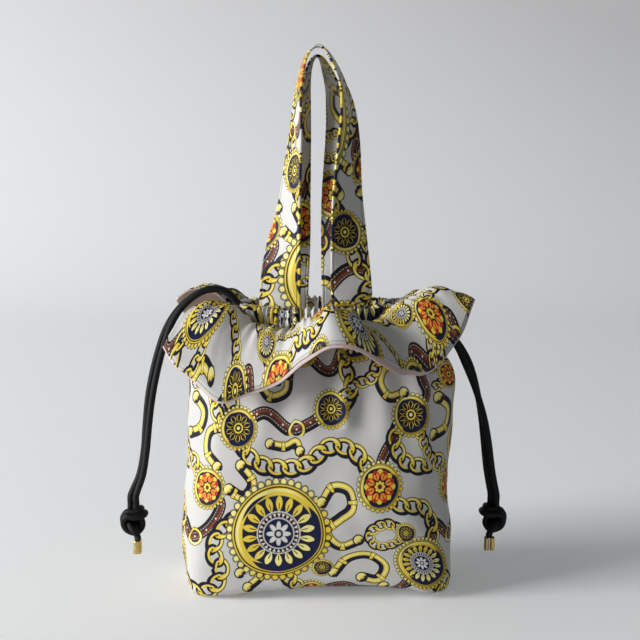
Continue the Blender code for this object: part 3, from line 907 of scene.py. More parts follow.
def body_levels(inset, wall_steps, shoulder_steps, base_steps):
    """The body's levels from the base up.

    Each: left, right and front half sizes, height, squareness, how far drawn in, and its place up the cloth.
    """
    levels = []
    deep = BODY_HALF_DEPTH - inset
    for step in range(1, base_steps):
        share = step / base_steps
        flat = share * (1 - BASE_EDGE / BODY_HALF_DEPTH)
        wide = share * (1 - BASE_EDGE / BODY_HALF_WIDTH)
        levels.append(
            (LEFT_SIDE[0][1] * wide, RIGHT_SIDE[0][1] * wide, deep * flat, inset, CORNERS[0][1], 0.0, None)
        )
    edge_steps = 6
    for step in range(edge_steps):
        turn = math.pi / 2 * step / edge_steps
        back = BASE_EDGE * (1 - math.sin(turn))
        height = inset + BASE_EDGE * (1 - math.cos(turn))
        up_cloth = BASE_EDGE * turn
        left = level(LEFT_SIDE, height) - inset - back
        right = level(RIGHT_SIDE, height) - inset - back
        levels.append((left, right, deep - back, height, level(CORNERS, height), 0.0, up_cloth))
    wall = SHOULDER_Z - BASE_EDGE - inset
    wall_start = BASE_EDGE * math.pi / 2
    for step in range(wall_steps):
        height = inset + BASE_EDGE + wall * step / wall_steps
        belly = BELLY * math.sin(math.pi * min(height / SHOULDER_Z, 1.0))
        left = level(LEFT_SIDE, height) - inset
        right = level(RIGHT_SIDE, height) - inset
        place = wall_start + wall * step / wall_steps
        levels.append((left, right, deep + belly, height, level(CORNERS, height), 0.0, place))
    for step in range(shoulder_steps + 1):
        drawn = step / shoulder_steps
        out, up = math.cos(math.pi / 2 * drawn), math.sin(math.pi / 2 * drawn)
        height = SHOULDER_Z + (SEAM_Z - SHOULDER_Z) * up - inset * up
        left = NECK_SIDE + (level(LEFT_SIDE, height) - NECK_SIDE) * out - inset * out
        right = NECK_SIDE + (level(RIGHT_SIDE, height) - NECK_SIDE) * out - inset * out
        half_depth = NECK_FRONT + (BODY_HALF_DEPTH - NECK_FRONT) * out - inset * out
        squareness = NECK_SQUARENESS + (level(CORNERS, height) - NECK_SQUARENESS) * out
        place = wall_start + wall + SHOULDER_CLOTH * drawn
        levels.append((left, right, half_depth, height, squareness, drawn, place))
    return levels


def lifted(point):
    """The base's front edge is pulled up a little between its corners."""
    forward = ease((-point.y / (2 * BODY_HALF_DEPTH) - 0.10) / 0.36)
    low = 1 - ease(point.z / 0.060)
    return point + Vector((0, 0, level(FRONT_LIFT, point.x) * forward * low))


def body_swell(u, v):
    """How far the body's cloth stands out of its plain shape at this place on the cloth."""
    swell = sum(high * wobble(u, v, wide, seed) for high, wide, seed in BODY_SWELLS)
    for start, end, low, depth, wide, fade in BODY_FOLDS:
        down = min(max((FOLDS_START - v) / (FOLDS_START - low), 0.0), 1.0)
        middle = start + (end - start) * down
        narrow = wide * (0.8 + 0.6 * down)
        ridge = math.exp(-(((u - middle) / narrow) ** 2))
        swell += depth * ridge * (1 - down) ** fade * (0.35 + 0.65 * ease(down * 2.2))
    return swell * ease((v - FOOT_TAUT) / FOOT_HEIGHT)


def base_print(x, y):
    """Where this place on the base lies on the flat cloth."""
    return x, BASE_PRINT - (y + BODY_HALF_DEPTH)


def body_rings(inset, steps, pleat_depth):
    """The body's cloth as rings of points, and each point's place on the flat cloth."""
    count = BODY_COLUMNS
    rows, marks = [], []
    for left, right, half_depth, height, squareness, drawn, up_cloth in body_levels(inset, *steps):
        ring = [Vector((p.x, p.y, height)) for p in body_row(left, right, half_depth, squareness, count)]
        slope = math.pi / 2 * drawn
        row, places = [], []
        for i in range(count + 1):
            u = (i / count - 0.5) * BODY_AROUND
            point = ring[i % count]
            if up_cloth is None:
                places.append(base_print(point.x, point.y))
                row.append(lifted(point))
                continue
            places.append((u, up_cloth))
            before, after = ring[(i - 1) % count], ring[(i + 1) % count]
            along = (after - before).normalized()
            out = Vector((along.y, -along.x, 0)) * math.cos(slope) + Vector((0, 0, math.sin(slope)))
            uneven = 0.28 * math.sin(2 * math.pi * 5 * i / count + 0.8)
            wave = 0.5 - 0.5 * math.cos(2 * math.pi * (NECK_PLEATS * i / count + uneven))
            sunk = pleat_depth * drawn**1.3 * wave
            folds = body_swell(u, up_cloth) * (1 - ease((drawn - 0.55) / 0.45))
            row.append(lifted(point + out * (folds - sunk)))
        rows.append(row[:-1])
        marks.append(places)
    return rows, marks


def close_base(obj):
    """Closes the hole in the middle of the base."""
    shape = bmesh.new()
    shape.from_mesh(obj.data)
    rim = [edge for edge in shape.edges if edge.is_boundary and edge.verts[0].co.z < SHOULDER_Z / 2]
    made = bmesh.ops.triangle_fill(shape, edges=rim, use_beauty=True, normal=(0, 0, -1))
    layer = shape.loops.layers.uv["cloth"]
    for face in made["geom"]:
        if isinstance(face, bmesh.types.BMFace):
            face.smooth = True
            for loop in face.loops:
                loop[layer].uv = base_print(loop.vert.co.x, loop.vert.co.y)
    shape.to_mesh(obj.data)
    shape.free()


class POUCH_OT_body(bpy.types.Operator):
    """Sew the boxed body of printed satin and the lining bag inside it."""

    bl_idname = "pouch.body"
    bl_label = "Body"

    def execute(self, context):
        sizes = context.scene.pouch_sizes
        rows, marks = body_rings(0.0, BODY_ROWS, sizes.neck_pleat)
        body = cloth_surface("body_cloth", rows, marks, paint("printed satin"), closed=True)
        close_base(body)
        PRINT.mark(body)
        thicken(body, sizes.cloth)
        dressed(body, "printed_satin", "outer_body")
        inset = sizes.cloth + LINING_APART + sizes.lining / 2
        rows, marks = body_rings(inset, LINING_ROWS, sizes.neck_pleat)
        lining = cloth_surface("lining_bag", rows, marks, paint("pink lining"), closed=True)
        close_base(lining)
        thicken(lining, sizes.lining, 0.0)
        dressed(lining, "pink_lining", "body_lining")
        return {"FINISHED"}


class POUCH_OT_casings(bpy.types.Operator):
    """Ruche the front and the back casing over the cords."""

    bl_idname = "pouch.casings"
    bl_label = "Casings"

    def execute(self, context):
        sizes = context.scene.pouch_sizes
        for front in (True, False):
            self.casing(sizes, front)
        return {"FINISHED"}

    def casing(self, sizes, front):
        """A flat tube of cloth around the cords, ruffled along its outside and its top."""
        _, casing_z, half_thickness, half_height = heights(sizes)
        name = "front" if front else "back"
        seed = 5.0 if front else 9.0
        right, up = CASING_PRINT
        rows, marks = [], []
        for i, (place, out) in enumerate(half_neck(front, CASING_COLUMNS)):
            row, places = [], []
            share = i / (CASING_COLUMNS - 1)
            for k in range(CASING_SIDES):
                turn = 2 * math.pi * k / CASING_SIDES
                c, s = math.cos(turn), math.sin(turn)
                phase = CASING_PLEATS * share
                phase += 0.35 * math.sin(19 * share + 2) + 0.16 * math.sin(turn + 31 * share)
                wave = (0.5 - 0.5 * math.cos(2 * math.pi * phase)) ** 0.7
                deep = 1 + 0.75 * wobble(share, k / CASING_SIDES, 0.035, seed)
                ruffle = sizes.ruffle * wave * deep
                thick = (half_thickness + ruffle * (1 + c) / 2) * math.copysign(abs(c) ** 0.5, c)
                high = half_height * math.copysign(abs(s) ** 0.5, s) + ruffle * max(s, 0.0)
                row.append(Vector((place.x, place.y, casing_z + high)) + out * thick)
                places.append((right + CASING_PRINT_WIDTH * share, up + CASING_CUT[1] * k / CASING_SIDES))
            places.append((right + CASING_PRINT_WIDTH * share, up + CASING_CUT[1]))
            rows.append(row[::-1] if front else row)
            marks.append(places[::-1] if front else places)
        sleeve = cloth_surface(name + "_ruched_casing", rows, marks, paint("printed satin"), closed=True)
        PRINT.mark(sleeve)
        thicken(sleeve, sizes.cloth)
        dressed(sleeve, "printed_satin", name + "_casing")


def frill_rows(sizes, front, lining=False):
    """The flounce from under the casing out to its free edge. It rises and falls, gathered at its root."""
    columns, steps = FLOUNCE_COLUMNS, FLOUNCE_ROWS
    fine, fine_height, fine_fade = FINE_GATHERS
    broad, broad_height, broad_fade = BROAD_GATHERS
    edge_points = FRONT_EDGE if front else BACK_EDGE
    frill_z, _, half_thickness, _ = heights(sizes)
    edge = spaced(smooth([(x, f, u) for x, f, u, _ in edge_points]), columns)
    bulge = smooth([(b, 0, 0) for *_, b in edge_points])
    out_from_casing = half_thickness + sizes.ruffle + sizes.cloth
    sign = -1 if front else 1
    seed = 11.0 if front else 17.0
    rows = [[] for _ in range(steps + 3)]
    marks = [[] for _ in range(steps + 3)]
    for i, (place, out) in enumerate(half_neck(front, columns)):
        share = i / (columns - 1)
        at = share * (len(bulge) - 1)
        low = min(int(at), len(bulge) - 2)
        rise = bulge[low].x + (bulge[low + 1].x - bulge[low].x) * (at - low)
        seam = Vector((place.x, place.y, frill_z))
        foot = seam + out * out_from_casing
        x, forward, up = edge[i]
        tip = Vector((x, sign * (NECK_FRONT + forward), SEAM_Z + up))
        long = (tip - foot).length + rise
        phase = fine * share + 0.4 * math.sin(17 * share + seed)
        fine_wave = 0.5 - 0.5 * math.cos(2 * math.pi * phase)
        broad_wave = 0.5 - 0.5 * math.cos(2 * math.pi * (broad * share + 0.25 * math.sin(11 * share)))
        on_print = FLOUNCE_PRINT_WIDTH * (share - 0.5)
        rows[0].append(seam)
        rows[1].append(seam.lerp(foot, 0.55))
        marks[0].append((on_print, FLOUNCE_PRINT_TOP + 0.007))
        marks[1].append((on_print, FLOUNCE_PRINT_TOP + 0.0035))
        for step in range(steps + 1):
            down = step / steps
            gather = fine_height * fine_wave * 4 * down * max(1 - down, 0.0) ** fine_fade
            gather += broad_height * broad_wave * 4 * down * max(1 - down, 0.0) ** broad_fade
            soft = FLOUNCE_SOFTNESS * wobble(share * 0.40, down * long, 0.030, seed) * down
            height = rise * 4 * down * (1 - down) + gather + soft
            rows[step + 2].append(foot.lerp(tip, down) + Vector((0, 0, height)))
            marks[step + 2].append((on_print, FLOUNCE_PRINT_TOP - long * down))
    if lining:
        for i, (before, last) in enumerate(zip(rows[-2], rows[-1])):
            shows = level(LINING_SHOWS, last.x) if front else BACK_LINING_SHOWS
            rows[-1][i] = last + (last - before).normalized() * shows
    if front:
        rows = [row[::-1] for row in rows]
        marks = [row[::-1] for row in marks]
    return rows, marks


class POUCH_OT_frills(bpy.types.Operator):
    """Gather the flounce's front and back halves at the neck, each with its lining."""

    bl_idname = "pouch.frills"
    bl_label = "Flounce"

    def execute(self, context):
        sizes = context.scene.pouch_sizes
        for front in (True, False):
            name = "front" if front else "back"
            rows, marks = frill_rows(sizes, front)
            outside = cloth_surface(name + "_flounce", rows, marks, paint("printed satin"))
            PRINT.mark(outside)
            hemmed(outside, [(rows[-1][i] - p).length for row in rows for i, p in enumerate(row)])
            thicken(outside, sizes.cloth)
            dressed(outside, "printed_satin", name + "_frill")
            rows, marks = frill_rows(sizes, front, lining=True)
            normals = grid_normals(rows)
            apart = sizes.cloth + GAP
            rows = [[p - n * apart for p, n in zip(row, ways)] for row, ways in zip(rows, normals)]
            inside = cloth_surface(name + "_flounce_lining", rows, marks, paint("pink lining"))
            thicken(inside, sizes.lining)
            dressed(inside, "pink_lining", name + "_frill_lining")
        return {"FINISHED"}


class POUCH_OT_handles(bpy.types.Operator):
    """Sew the two flat handles inside the neck."""

    bl_idname = "pouch.handles"
    bl_label = "Handles"

    def execute(self, context):
        sizes = context.scene.pouch_sizes
        self.handle(sizes, True, FRONT_STRAP)
        self.handle(sizes, False, BACK_STRAP)
        return {"FINISHED"}

    def handle(self, sizes, front, stations):
        """A folded strap along its stations, flat on the casing's inside where it is sewn."""
        _, casing_z, half_thickness, _ = heights(sizes)
        side = -1 if front else 1
        name = "front" if front else "back"
        inside = half_thickness + sizes.cloth + GAP + sizes.strap_thickness / 2
        foot_z = casing_z - STRAP_SEWN / 2
        path = smooth([(x, inward, share) for share, x, inward, _ in stations], 10)
        turns = smooth([(turn, 0, 0) for *_, turn in stations], 10)
        middle_line = [Vector((x, inward, share * HANDLE_RISE)) for x, inward, share in path]
        along = lengths(middle_line)
        half_width = sizes.strap_width / 2
        print_right = FRONT_STRAP_PRINT if front else BACK_STRAP_PRINT
        rows, marks = [], []
        for j, ((across, inward, share), turned) in enumerate(zip(path, turns)):
            turn = math.radians(turned.x)
            hug = 1 - ease((share - 0.085) / 0.10)
            row, places = [], []
            for column in range(STRAP_COLUMNS):
                k = 2 * column / (STRAP_COLUMNS - 1) - 1
                x = across + k * half_width * math.cos(turn)
                flat = NECK_FRONT - inside - inward + k * half_width * math.sin(turn)
                sewn = neck_depth_at(x, inside) - inward
                row.append(Vector((x, side * (flat + (sewn - flat) * hug), foot_z + share * HANDLE_RISE)))
                places.append((k * half_width + print_right, along[j] + 0.02))
            rows.append(row)
            marks.append(places)
        self.crease(rows, along)
        strap = cloth_surface(name + "_strap", rows, marks, paint("printed satin"))
        PRINT.mark(strap)
        hemmed(strap, [min((row[0] - p).length, (row[-1] - p).length) for row in rows for p in row])
        thicken(strap, sizes.strap_thickness, 0.0)
        made = strap.modifiers.new("soft edges", "BEVEL")
        made.width = STRAP_EDGE
        made.segments = 3
        made.limit_method = "ANGLE"
        bpy.ops.object.modifier_apply(modifier=made.name)
        strap.data.shade_smooth()
        dressed(strap, "printed_satin", name + "_handle")

    def crease(self, rows, along):
        """The legs are a little hollow along their middle, where they bend away from the neck."""
        normals = grid_normals(rows)
        whole = along[-1]
        for j, row in enumerate(rows):
            share = along[j] / whole
            leg = ease((share - 0.10) / 0.12) * (1 - ease((share - 0.34) / 0.12))
            leg += ease((0.90 - share) / 0.12) * (1 - ease((0.66 - share) / 0.12))
            for i, point in enumerate(row):
                k = 2 * i / (len(row) - 1) - 1
                uneven = 1 + 0.6 * wobble(0.0, along[j], 0.035, 3.0)
                hollow = STRAP_HOLLOW * leg * (1 - k * k) * uneven
                row[i] = point - normals[j][i] * hollow


def route_samples(paths):
    """For each path: its points a millimetre apart with their way on, and how far along each lies."""
    found = []
    for size, points in paths:
        line = smooth([Vector((x, y, 0)) for x, y in points], 12)
        line = spaced(line, max(int(lengths(line)[-1]), 4))
        along = lengths(line)
        ends = [line[0], *line, line[-1]]
        ways = [(after - before).normalized() for before, after in zip(ends, ends[2:])]
        found.append((size, line, along, ways))
    return found


def scattered_tree(lines):
    """A search tree of these lines' points and of their copies in the repeats around them."""
    tree = kdtree.KDTree(len(REPEATS) * sum(len(line) for line in lines))
    marks = []
    for number, line in enumerate(lines):
        for place, point in enumerate(line):
            for shift in REPEATS:
                tree.insert(point + shift, len(marks))
                marks.append((number, place))
    tree.balance()
    return tree, marks


def on_route(point, tree, marks, along, ways):
    """How far along a route this point of the cloth lies, and how far to its left."""
    near, index, _ = tree.find(point)
    place = marks[index][1]
    way = ways[place]
    apart = point - near
    ahead = apart.dot(way)
    aside = way.x * apart.y - way.y * apart.x
    return along[place] + ahead, aside


def past_end(point, tree, marks, along, ways):
    """Whether this point of the cloth lies beyond the route's first or last point."""
    ahead, _ = on_route(point, tree, marks, along, ways)
    return ahead < -1.5 or ahead > along[-1] + 1.5


class Print:
    """The print's chains, straps and rosettes, ready to be found on any piece of cloth."""

    def __init__(self):
        self.chains = route_samples(CHAINS)
        self.straps = route_samples([((kind, half), points) for kind, half, points in STRAPS])
        self.rosettes = list(ROSETTES)
        for kind, half, points in STRAPS:
            for end in (points[0], points[-1]):
                hidden = any(math.dist(end, (x, y)) < radius for _, x, y, radius in ROSETTES)
                if not hidden and kind == ROD:
                    self.rosettes.append((BALL, *end, half * BALL_SIZE))
        self.trees = {}
        for name, routes in (("chain", self.chains), ("strap", self.straps)):
            whole = scattered_tree([line for _, line, _, _ in routes])
            own = [scattered_tree([line]) for _, line, _, _ in routes]
            self.trees[name] = (whole, own)

    def mark(self, obj):
        """Stores on each face corner its place on the nearest chain, strap and rosette."""
        mesh = obj.data
        finders = {"chain": self.chain_places, "strap": self.strap_places, "rosette": self.rosette_places}
        for name in finders:
            mesh.attributes.new(name + "_place", "FLOAT_VECTOR", "CORNER")
        stored = {name: mesh.attributes[name + "_place"].data for name in finders}
        cloth = mesh.uv_layers["cloth"].data
        for face in mesh.polygons:
            corners = [Vector((*cloth[i].uv, 0)) * 1000 for i in face.loop_indices]
            middle = sum(corners, Vector()) / len(corners)
            whole = [math.floor(at / repeat + 0.5) * repeat for at, repeat in zip(middle, REPEAT)]
            shift = Vector((*whole, 0))
            corners = [corner - shift for corner in corners]
            for name, places_of in finders.items():
                for i, value in zip(face.loop_indices, places_of(middle - shift, corners)):
                    stored[name][i].vector = value

    def chain_places(self, middle, corners):
        """How far along and aside of the nearest chain each corner lies, in links, and 1 if it is near."""
        (tree, marks), own = self.trees["chain"]
        _, index, far = tree.find(middle)
        number = marks[index][0]
        size, _, along, ways = self.chains[number]
        if far > size or past_end(middle, *own[number], along, ways):
            return [(0.0, 9.0, 0.0)] * len(corners)
        found = [on_route(corner, *own[number], along, ways) for corner in corners]
        return [(ahead / size, aside / size, 1.0) for ahead, aside in found]

    def strap_places(self, middle, corners):
        """How far along and aside of the nearest strap each corner lies, in half widths, and its kind."""
        (tree, marks), own = self.trees["strap"]
        _, index, far = tree.find(middle)
        number = marks[index][0]
        (kind, half), _, along, ways = self.straps[number]
        if far > 3 * half or past_end(middle, *own[number], along, ways):
            return [(0.0, 9.0, 0.0)] * len(corners)
        found = [on_route(corner, *own[number], along, ways) for corner in corners]
        return [(ahead / half, aside / half, float(kind)) for ahead, aside in found]

    def rosette_places(self, middle, corners):
        """Where each corner lies around the nearest rosette's middle, in its radii, and its kind."""
        best, chosen = 1.25, None
        for kind, x, y, radius in self.rosettes:
            for shift in REPEATS:
                centre = Vector((x, y, 0)) + shift
                share = (middle - centre).length / radius
                if share < best:
                    best, chosen = share, (kind, centre, radius)
        if chosen is None:
            return [(9.0, 9.0, 0.0)] * len(corners)
        kind, centre, radius = chosen
        return [(*((corner - centre) / radius).to_2d(), float(kind)) for corner in corners]


PRINT = Print()


def hemmed(obj, distances):
    """Marks how near each point of the cloth lies to a sewn edge: 1 less for each millimetre."""
    stored = obj.data.attributes.new("hem", "FLOAT", "POINT")
    for point, distance in zip(stored.data, distances):
        point.value = HEM_EDGE - distance * 1000


class Field:
    """A number that varies over a surface: a socket of a material's nodes, and sums with it."""

    def __init__(self, tree, socket):
        self.tree = tree
        self.socket = socket

    def math(self, operation, *others, clamp=False):
        node = self.tree.nodes.new("ShaderNodeMath")
        node.operation = operation
        node.use_clamp = clamp
        for place, value in zip(node.inputs, (self, *others)):
            if isinstance(value, Field):
                self.tree.links.new(value.socket, place)
            else:
                place.default_value = value
        return Field(self.tree, node.outputs[0])

    def __add__(self, other):
        return self.math("ADD", other)

    def __sub__(self, other):
        return self.math("SUBTRACT", other)

    def __mul__(self, other):
        return self.math("MULTIPLY", other)

    def __truediv__(self, other):
        return self.math("DIVIDE", other)

    def size(self):
        """The number without its sign."""
        return self.math("ABSOLUTE")

    def part(self):
        """What is left after the last whole number, from the middle: -0.5 to 0.5."""
        return self.math("FRACT") - 0.5

    def cos(self):
        return self.math("COSINE")

    def under(self, limit, soft):
        """1 where this is under the limit, with a soft edge."""
        if isinstance(limit, Field):
            return (limit - self).math("MULTIPLY_ADD", 1 / soft, 0.5, clamp=True)
        return self.math("MULTIPLY_ADD", -1 / soft, limit / soft + 0.5, clamp=True)

    def over(self, limit, soft):
        """1 where this is over the limit, with a soft edge."""
        return self.math("MULTIPLY_ADD", 1 / soft, 0.5 - limit / soft, clamp=True)

    def band(self, low, high, soft):
        """1 where this is between low and high, with soft edges."""
        return (self - (low + high) / 2).size().under((high - low) / 2, soft)

    def either(self, other):
        return self.math("MAXIMUM", other)

    def outside(self):
        """1 where this mask is 0, and 0 where it is 1."""
        return self * -1 + 1

    def choose(self, low, high):
        """Low where this is 0 and high where it is 1."""
        node = self.tree.nodes.new("ShaderNodeMix")
        for place, value in zip((0, 2, 3), (self, low, high)):
            if isinstance(value, Field):
                self.tree.links.new(value.socket, node.inputs[place])
            else:
                node.inputs[place].default_value = value
        return Field(self.tree, node.outputs[0])

    def colour(self, low, high):
        """The low colour where this is 0 and the high one where it is 1."""
        node = self.tree.nodes.new("ShaderNodeMix")
        node.data_type = "RGBA"
        for place, value in zip((0, 6, 7), (self, low, high)):
            if isinstance(value, Field):
                self.tree.links.new(value.socket, node.inputs[place])
            else:
                node.inputs[place].default_value = (*value, 1.0)
        return Field(self.tree, node.outputs[2])


def far_from_middle(x, y):
    """How far the place x, y lies from the middle."""
    return (x * x + y * y).math("SQRT")


def spokes(angle, count):
    """Goes from -0.5 to 0.5 around the middle this many times."""
    return (angle * (count / (2 * math.pi))).part()


def discs(radius, colour, inks, rings, soft=0.02):
    """Lays one disc after another over the colour: each one's radius and ink."""
    for limit, ink in rings:
        colour = radius.under(limit, soft).colour(colour, inks[ink])
    return colour


def place_fields(tree, name):
    """The three numbers that the print stored on the cloth under this name."""
    read = tree.nodes.new("ShaderNodeAttribute")
    read.attribute_name = name
    split = tree.nodes.new("ShaderNodeSeparateXYZ")
    tree.links.new(read.outputs["Vector"], split.inputs[0])
    return [Field(tree, socket) for socket in split.outputs]


def chain_ink(tree, inks, under):
    """Gold links, each passing over the next on one side and under it on the other."""
    along, aside, there = place_fields(tree, "chain_place")
    soft = 0.025
    long, wide = 0.74, 0.54
    halves = []
    for start in (0.0, 0.5):
        x = (along * 0.5 + start).part() * 2
        off = (far_from_middle(x / long, aside / wide) - 0.78) * wide
        body = off.size().under(0.112, soft)
        edge = (off - (aside * -0.6 + x * 0.4).math("MAXIMUM", 0.0) * 0.20).size().under(0.165, soft)
        upper = (aside - x * 0.35).over(0.05, 0.12)
        light = (off - 0.02).size().under(0.038, 0.03) * upper
        shade = off.over(0.020, 0.03) * (aside + x * 0.5).under(0.0, 0.10)
        shade = shade.either(off.under(-0.055, 0.03) * (aside - x * 0.5).over(0.12, 0.10))
        halves.append((x, body, edge, light, shade))
    first, second = halves
    on_top = ((first[0] - second[0]) * aside).over(0.0, 0.01)
    colour, shown = under, []
    for pick in (on_top, on_top.outside()):
        body, edge, light, shade = (pick.choose(a, b) for a, b in zip(first[1:], second[1:]))
        metal = shade.colour(light.colour(inks["gold"], inks["pale"]), inks["navy"])
        shown.append(edge * there)
        colour = shown[-1].colour(colour, body.colour(inks["line"], metal))
    return colour, shown[0].either(shown[1])


def strap_ink(tree, inks, under):
    """Brown straps with stitches, studs and buckles, and shaded gold rods with collars."""
    along, aside, kind = place_fields(tree, "strap_place")
    soft = 0.06
    leather = kind.band(0.5, 1.5, 0.01)
    rod = kind.over(1.5, 0.01)
    wide = aside.size()
    body = wide.under(0.88, soft)
    edge = (aside + 0.18).size().under(1.30, soft)
    stitch = wide.band(0.62, 0.72, soft) * (along * 1.6).part().size().under(0.30, 0.1)
    stud = far_from_middle((along * 0.30).part() * 3.33, aside).under(0.20, soft)
    grain = (aside - 0.25).size().under(0.16, 0.12)
    brown = grain.colour(inks["brown"], inks["rust"])
    brown = aside.under(-0.45, 0.10).colour(brown, inks["dark"])
    brown = stitch.either(stud).colour(brown, inks["white"])
    light = (aside - 0.28).size().under(0.24, 0.10)
    shine = light.colour(inks["gold"], inks["pale"])
    gold = aside.under(-0.34, 0.08).colour(shine, inks["navy"])
    colour = body.colour(inks["line"], rod.colour(brown, gold))
    shown = edge * leather.either(rod)
    result = shown.colour(under, colour)

    between_buckles, buckle_radius = 15.0, 1.55
    x = (along / between_buckles + 0.5).part() * between_buckles
    ring = (far_from_middle(x / buckle_radius, aside / buckle_radius) - 1.0) * buckle_radius
    buckle = ring.size().under(0.24, soft) * leather
    line = ring.size().under(0.40, soft) * leather
    result = line.colour(result, inks["line"])
    gleam = (aside - x * 0.4).over(0.2, 0.3)
    result = buckle.colour(result, gleam.colour(inks["gold"], inks["pale"]))

    between_collars = 8.0
    y = (along / between_collars).part() * between_collars
    collar = y.size().under(0.42, soft) * wide.under(1.12, soft) * rod
    rim = y.size().under(0.58, soft) * wide.under(1.26, soft) * rod
    result = rim.colour(result, inks["line"])
    result = collar.colour(result, shine)
    return result, shown.either(line).either(rim)


def beads(angle, radius, count, ring, size, soft):
    """A ring of round beads, and the same a little larger for their outline."""
    aside = spokes(angle, count) * (2 * math.pi / count) * radius
    apart = far_from_middle(aside, radius - ring)
    return apart.under(size, soft), apart.under(size * 1.45, soft)


def petals(angle, radius, count, low, high, wide, soft):
    """A ring of pointed petals between two radii, and their outline."""
    aside = spokes(angle, count).size()
    share = (radius - low) / (high - low)
    swell = (share * math.pi).math("SINE").math("MAXIMUM", 0.0).math("POWER", 0.8)
    between = radius.band(low, high, soft)
    inner = aside.under(swell * (wide * 0.72), 0.04) * between
    outer = aside.under(swell * wide, 0.04) * between
    return inner, outer


def rim_metal(radius, lit, inks):
    """The rosette's gold band with a dark line in it, a bright side, a dark side and a stroke of shade."""
    metal = (radius - 0.845).size().under(0.014, 0.012).colour(inks["gold"], inks["line"])
    bright = radius.band(0.765, 0.815, 0.02) * (radius - 0.79).size().under((lit - 0.1) * 0.06, 0.012)
    metal = bright.colour(metal, inks["pale"])
    shade = radius.band(0.68, 0.815, 0.02) * (radius - 0.75).size().under((lit + 0.05) * -0.22, 0.012)
    metal = shade.colour(metal, inks["navy"])
    stroke = (radius - 0.735).size().under((lit - 0.88) * 0.30, 0.010)
    return stroke.colour(metal, inks["navy"])


def gold_filling(angle, radius, lit, inks, soft):
    """Eighteen gold petals around a toothed ring and a white flower."""
    inner, outer = petals(angle, radius, 18, 0.40, 0.70, 0.46, soft)
    petal = lit.under(-0.1, 0.5).colour(inks["gold"], inks["pale"])
    colour = inner.colour(outer.colour(inks["navy"], inks["line"]), petal)
    vein = spokes(angle, 18).size().under(0.05, 0.03) * radius.band(0.44, 0.56, soft)
    colour = vein.colour(colour, inks["navy"])
    colour = discs(radius, colour, inks, [(0.415, "white"), (0.395, "dark")])
    tooth = spokes(angle, 26).size().under((radius - 0.30) * 4.6, 0.10) * radius.band(0.30, 0.375, soft)
    colour = tooth.colour(colour, inks["white"])
    colour = discs(radius, colour, inks, [(0.30, "white"), (0.28, "navy")])
    flower = radius.under((angle * 4).cos().size() * 0.13 + 0.10, 0.03)
    colour = flower.colour(colour, inks["white"])
    return discs(radius, colour, inks, [(0.085, "navy"), (0.045, "white")])


def red_filling(angle, radius, inks, soft):
    """Eight red petals with orange hearts, and gold ones between them."""
    inner, outer = petals(angle, radius, 8, 0.20, 0.66, 0.47, soft)
    colour = outer.colour(inks["line"], inks["red"])
    colour = (inner * radius.under(0.52, 0.04)).colour(colour, inks["orange"])
    vein = spokes(angle, 8).size().under(0.05, 0.03) * radius.band(0.3, 0.6, soft)
    colour = vein.colour(colour, inks["line"])
    _, between = petals(angle + math.pi / 8, radius, 8, 0.46, 0.69, 0.30, soft)
    colour = (between * outer.outside()).colour(colour, inks["gold"])
    colour = radius.under(0.27, soft).colour(colour, inks["line"])
    core = radius.under((angle * 4).cos().size() * 0.06 + 0.17, 0.03)
    colour = core.colour(colour, inks["gold"])
    return radius.under(0.10, soft).colour(colour, inks["brown"])


def pendant_filling(angle, radius, inks, soft):
    """Ten petals in gold outline around a gold eye."""
    inner, outer = petals(angle, radius, 10, 0.26, 0.64, 0.40, soft)
    colour = radius.over(0.58, 0.03).colour(inks["line"], inks["navy"])
    colour = (outer * inner.outside()).colour(colour, inks["gold"])
    return discs(radius, colour, inks, [(0.24, "gold"), (0.17, "line"), (0.08, "pale")])


def ball_ink(radius, lit, inks):
    """A shaded gold ball with an outline."""
    colour = lit.over(0.0, 0.5).colour(inks["gold"], inks["pale"])
    colour = (lit.under(-0.4, 0.3) * radius.over(0.4, 0.2)).colour(colour, inks["navy"])
    return radius.under(0.78, 0.08).colour(inks["line"], colour)


def rosette_ink(tree, inks, under):
    """Gold, red and pendant rosettes: a beaded rim, bands, and petals around a flower."""
    x, y, kind = place_fields(tree, "rosette_place")
    soft = 0.02
    radius = far_from_middle(x, y)
    angle = y.math("ARCTAN2", x) + math.pi
    lit = (y * 0.7 - x * 0.7) / radius
    gold = kind.band(0.5, 1.5, 0.01)
    red = kind.band(1.5, 2.5, 0.01)
    pendant = kind.band(2.5, 3.5, 0.01)
    ball = kind.over(3.5, 0.01)
    there = kind.over(0.5, 0.01)

    small, small_edge = beads(angle, radius, 40, 0.945, 0.052, soft)
    large, large_edge = beads(angle, radius, 28, 0.945, 0.066, soft)
    bead = gold.choose(large, small)
    rim = radius.under(0.905, soft)
    shape = gold.choose(large_edge, small_edge).either(rim) * there
    colour = bead.colour(inks["line"], lit.over(-0.2, 0.8).colour(inks["gold"], inks["pale"]))
    colour = rim.colour(colour, inks["line"])
    colour = radius.under(0.885, soft).colour(colour, rim_metal(radius, lit, inks))

    inside = radius.under(gold.choose(0.72, 0.69), soft)
    colour = inside.colour(colour, (lit * radius).over(0.0, 0.25).colour(inks["line"], inks["navy"]))
    many = gold_filling(angle, radius, lit, inks, soft)
    filling = pendant.colour(many, pendant_filling(angle, radius, inks, soft))
    filling = red.colour(filling, red_filling(angle, radius, inks, soft))
    colour = (inside * radius.under(0.70, soft)).colour(colour, filling)
    colour = ball.colour(colour, ball_ink(radius, lit, inks))
    return shape.colour(under, colour), shape


def noise_field(tree, vector, scale, detail=2.0):
    """Soft noise between 0 and 1."""
    node = tree.nodes.new("ShaderNodeTexNoise")
    node.inputs["Scale"].default_value = scale
    node.inputs["Detail"].default_value = detail
    tree.links.new(vector, node.inputs["Vector"])
    return Field(tree, node.outputs["Fac"])


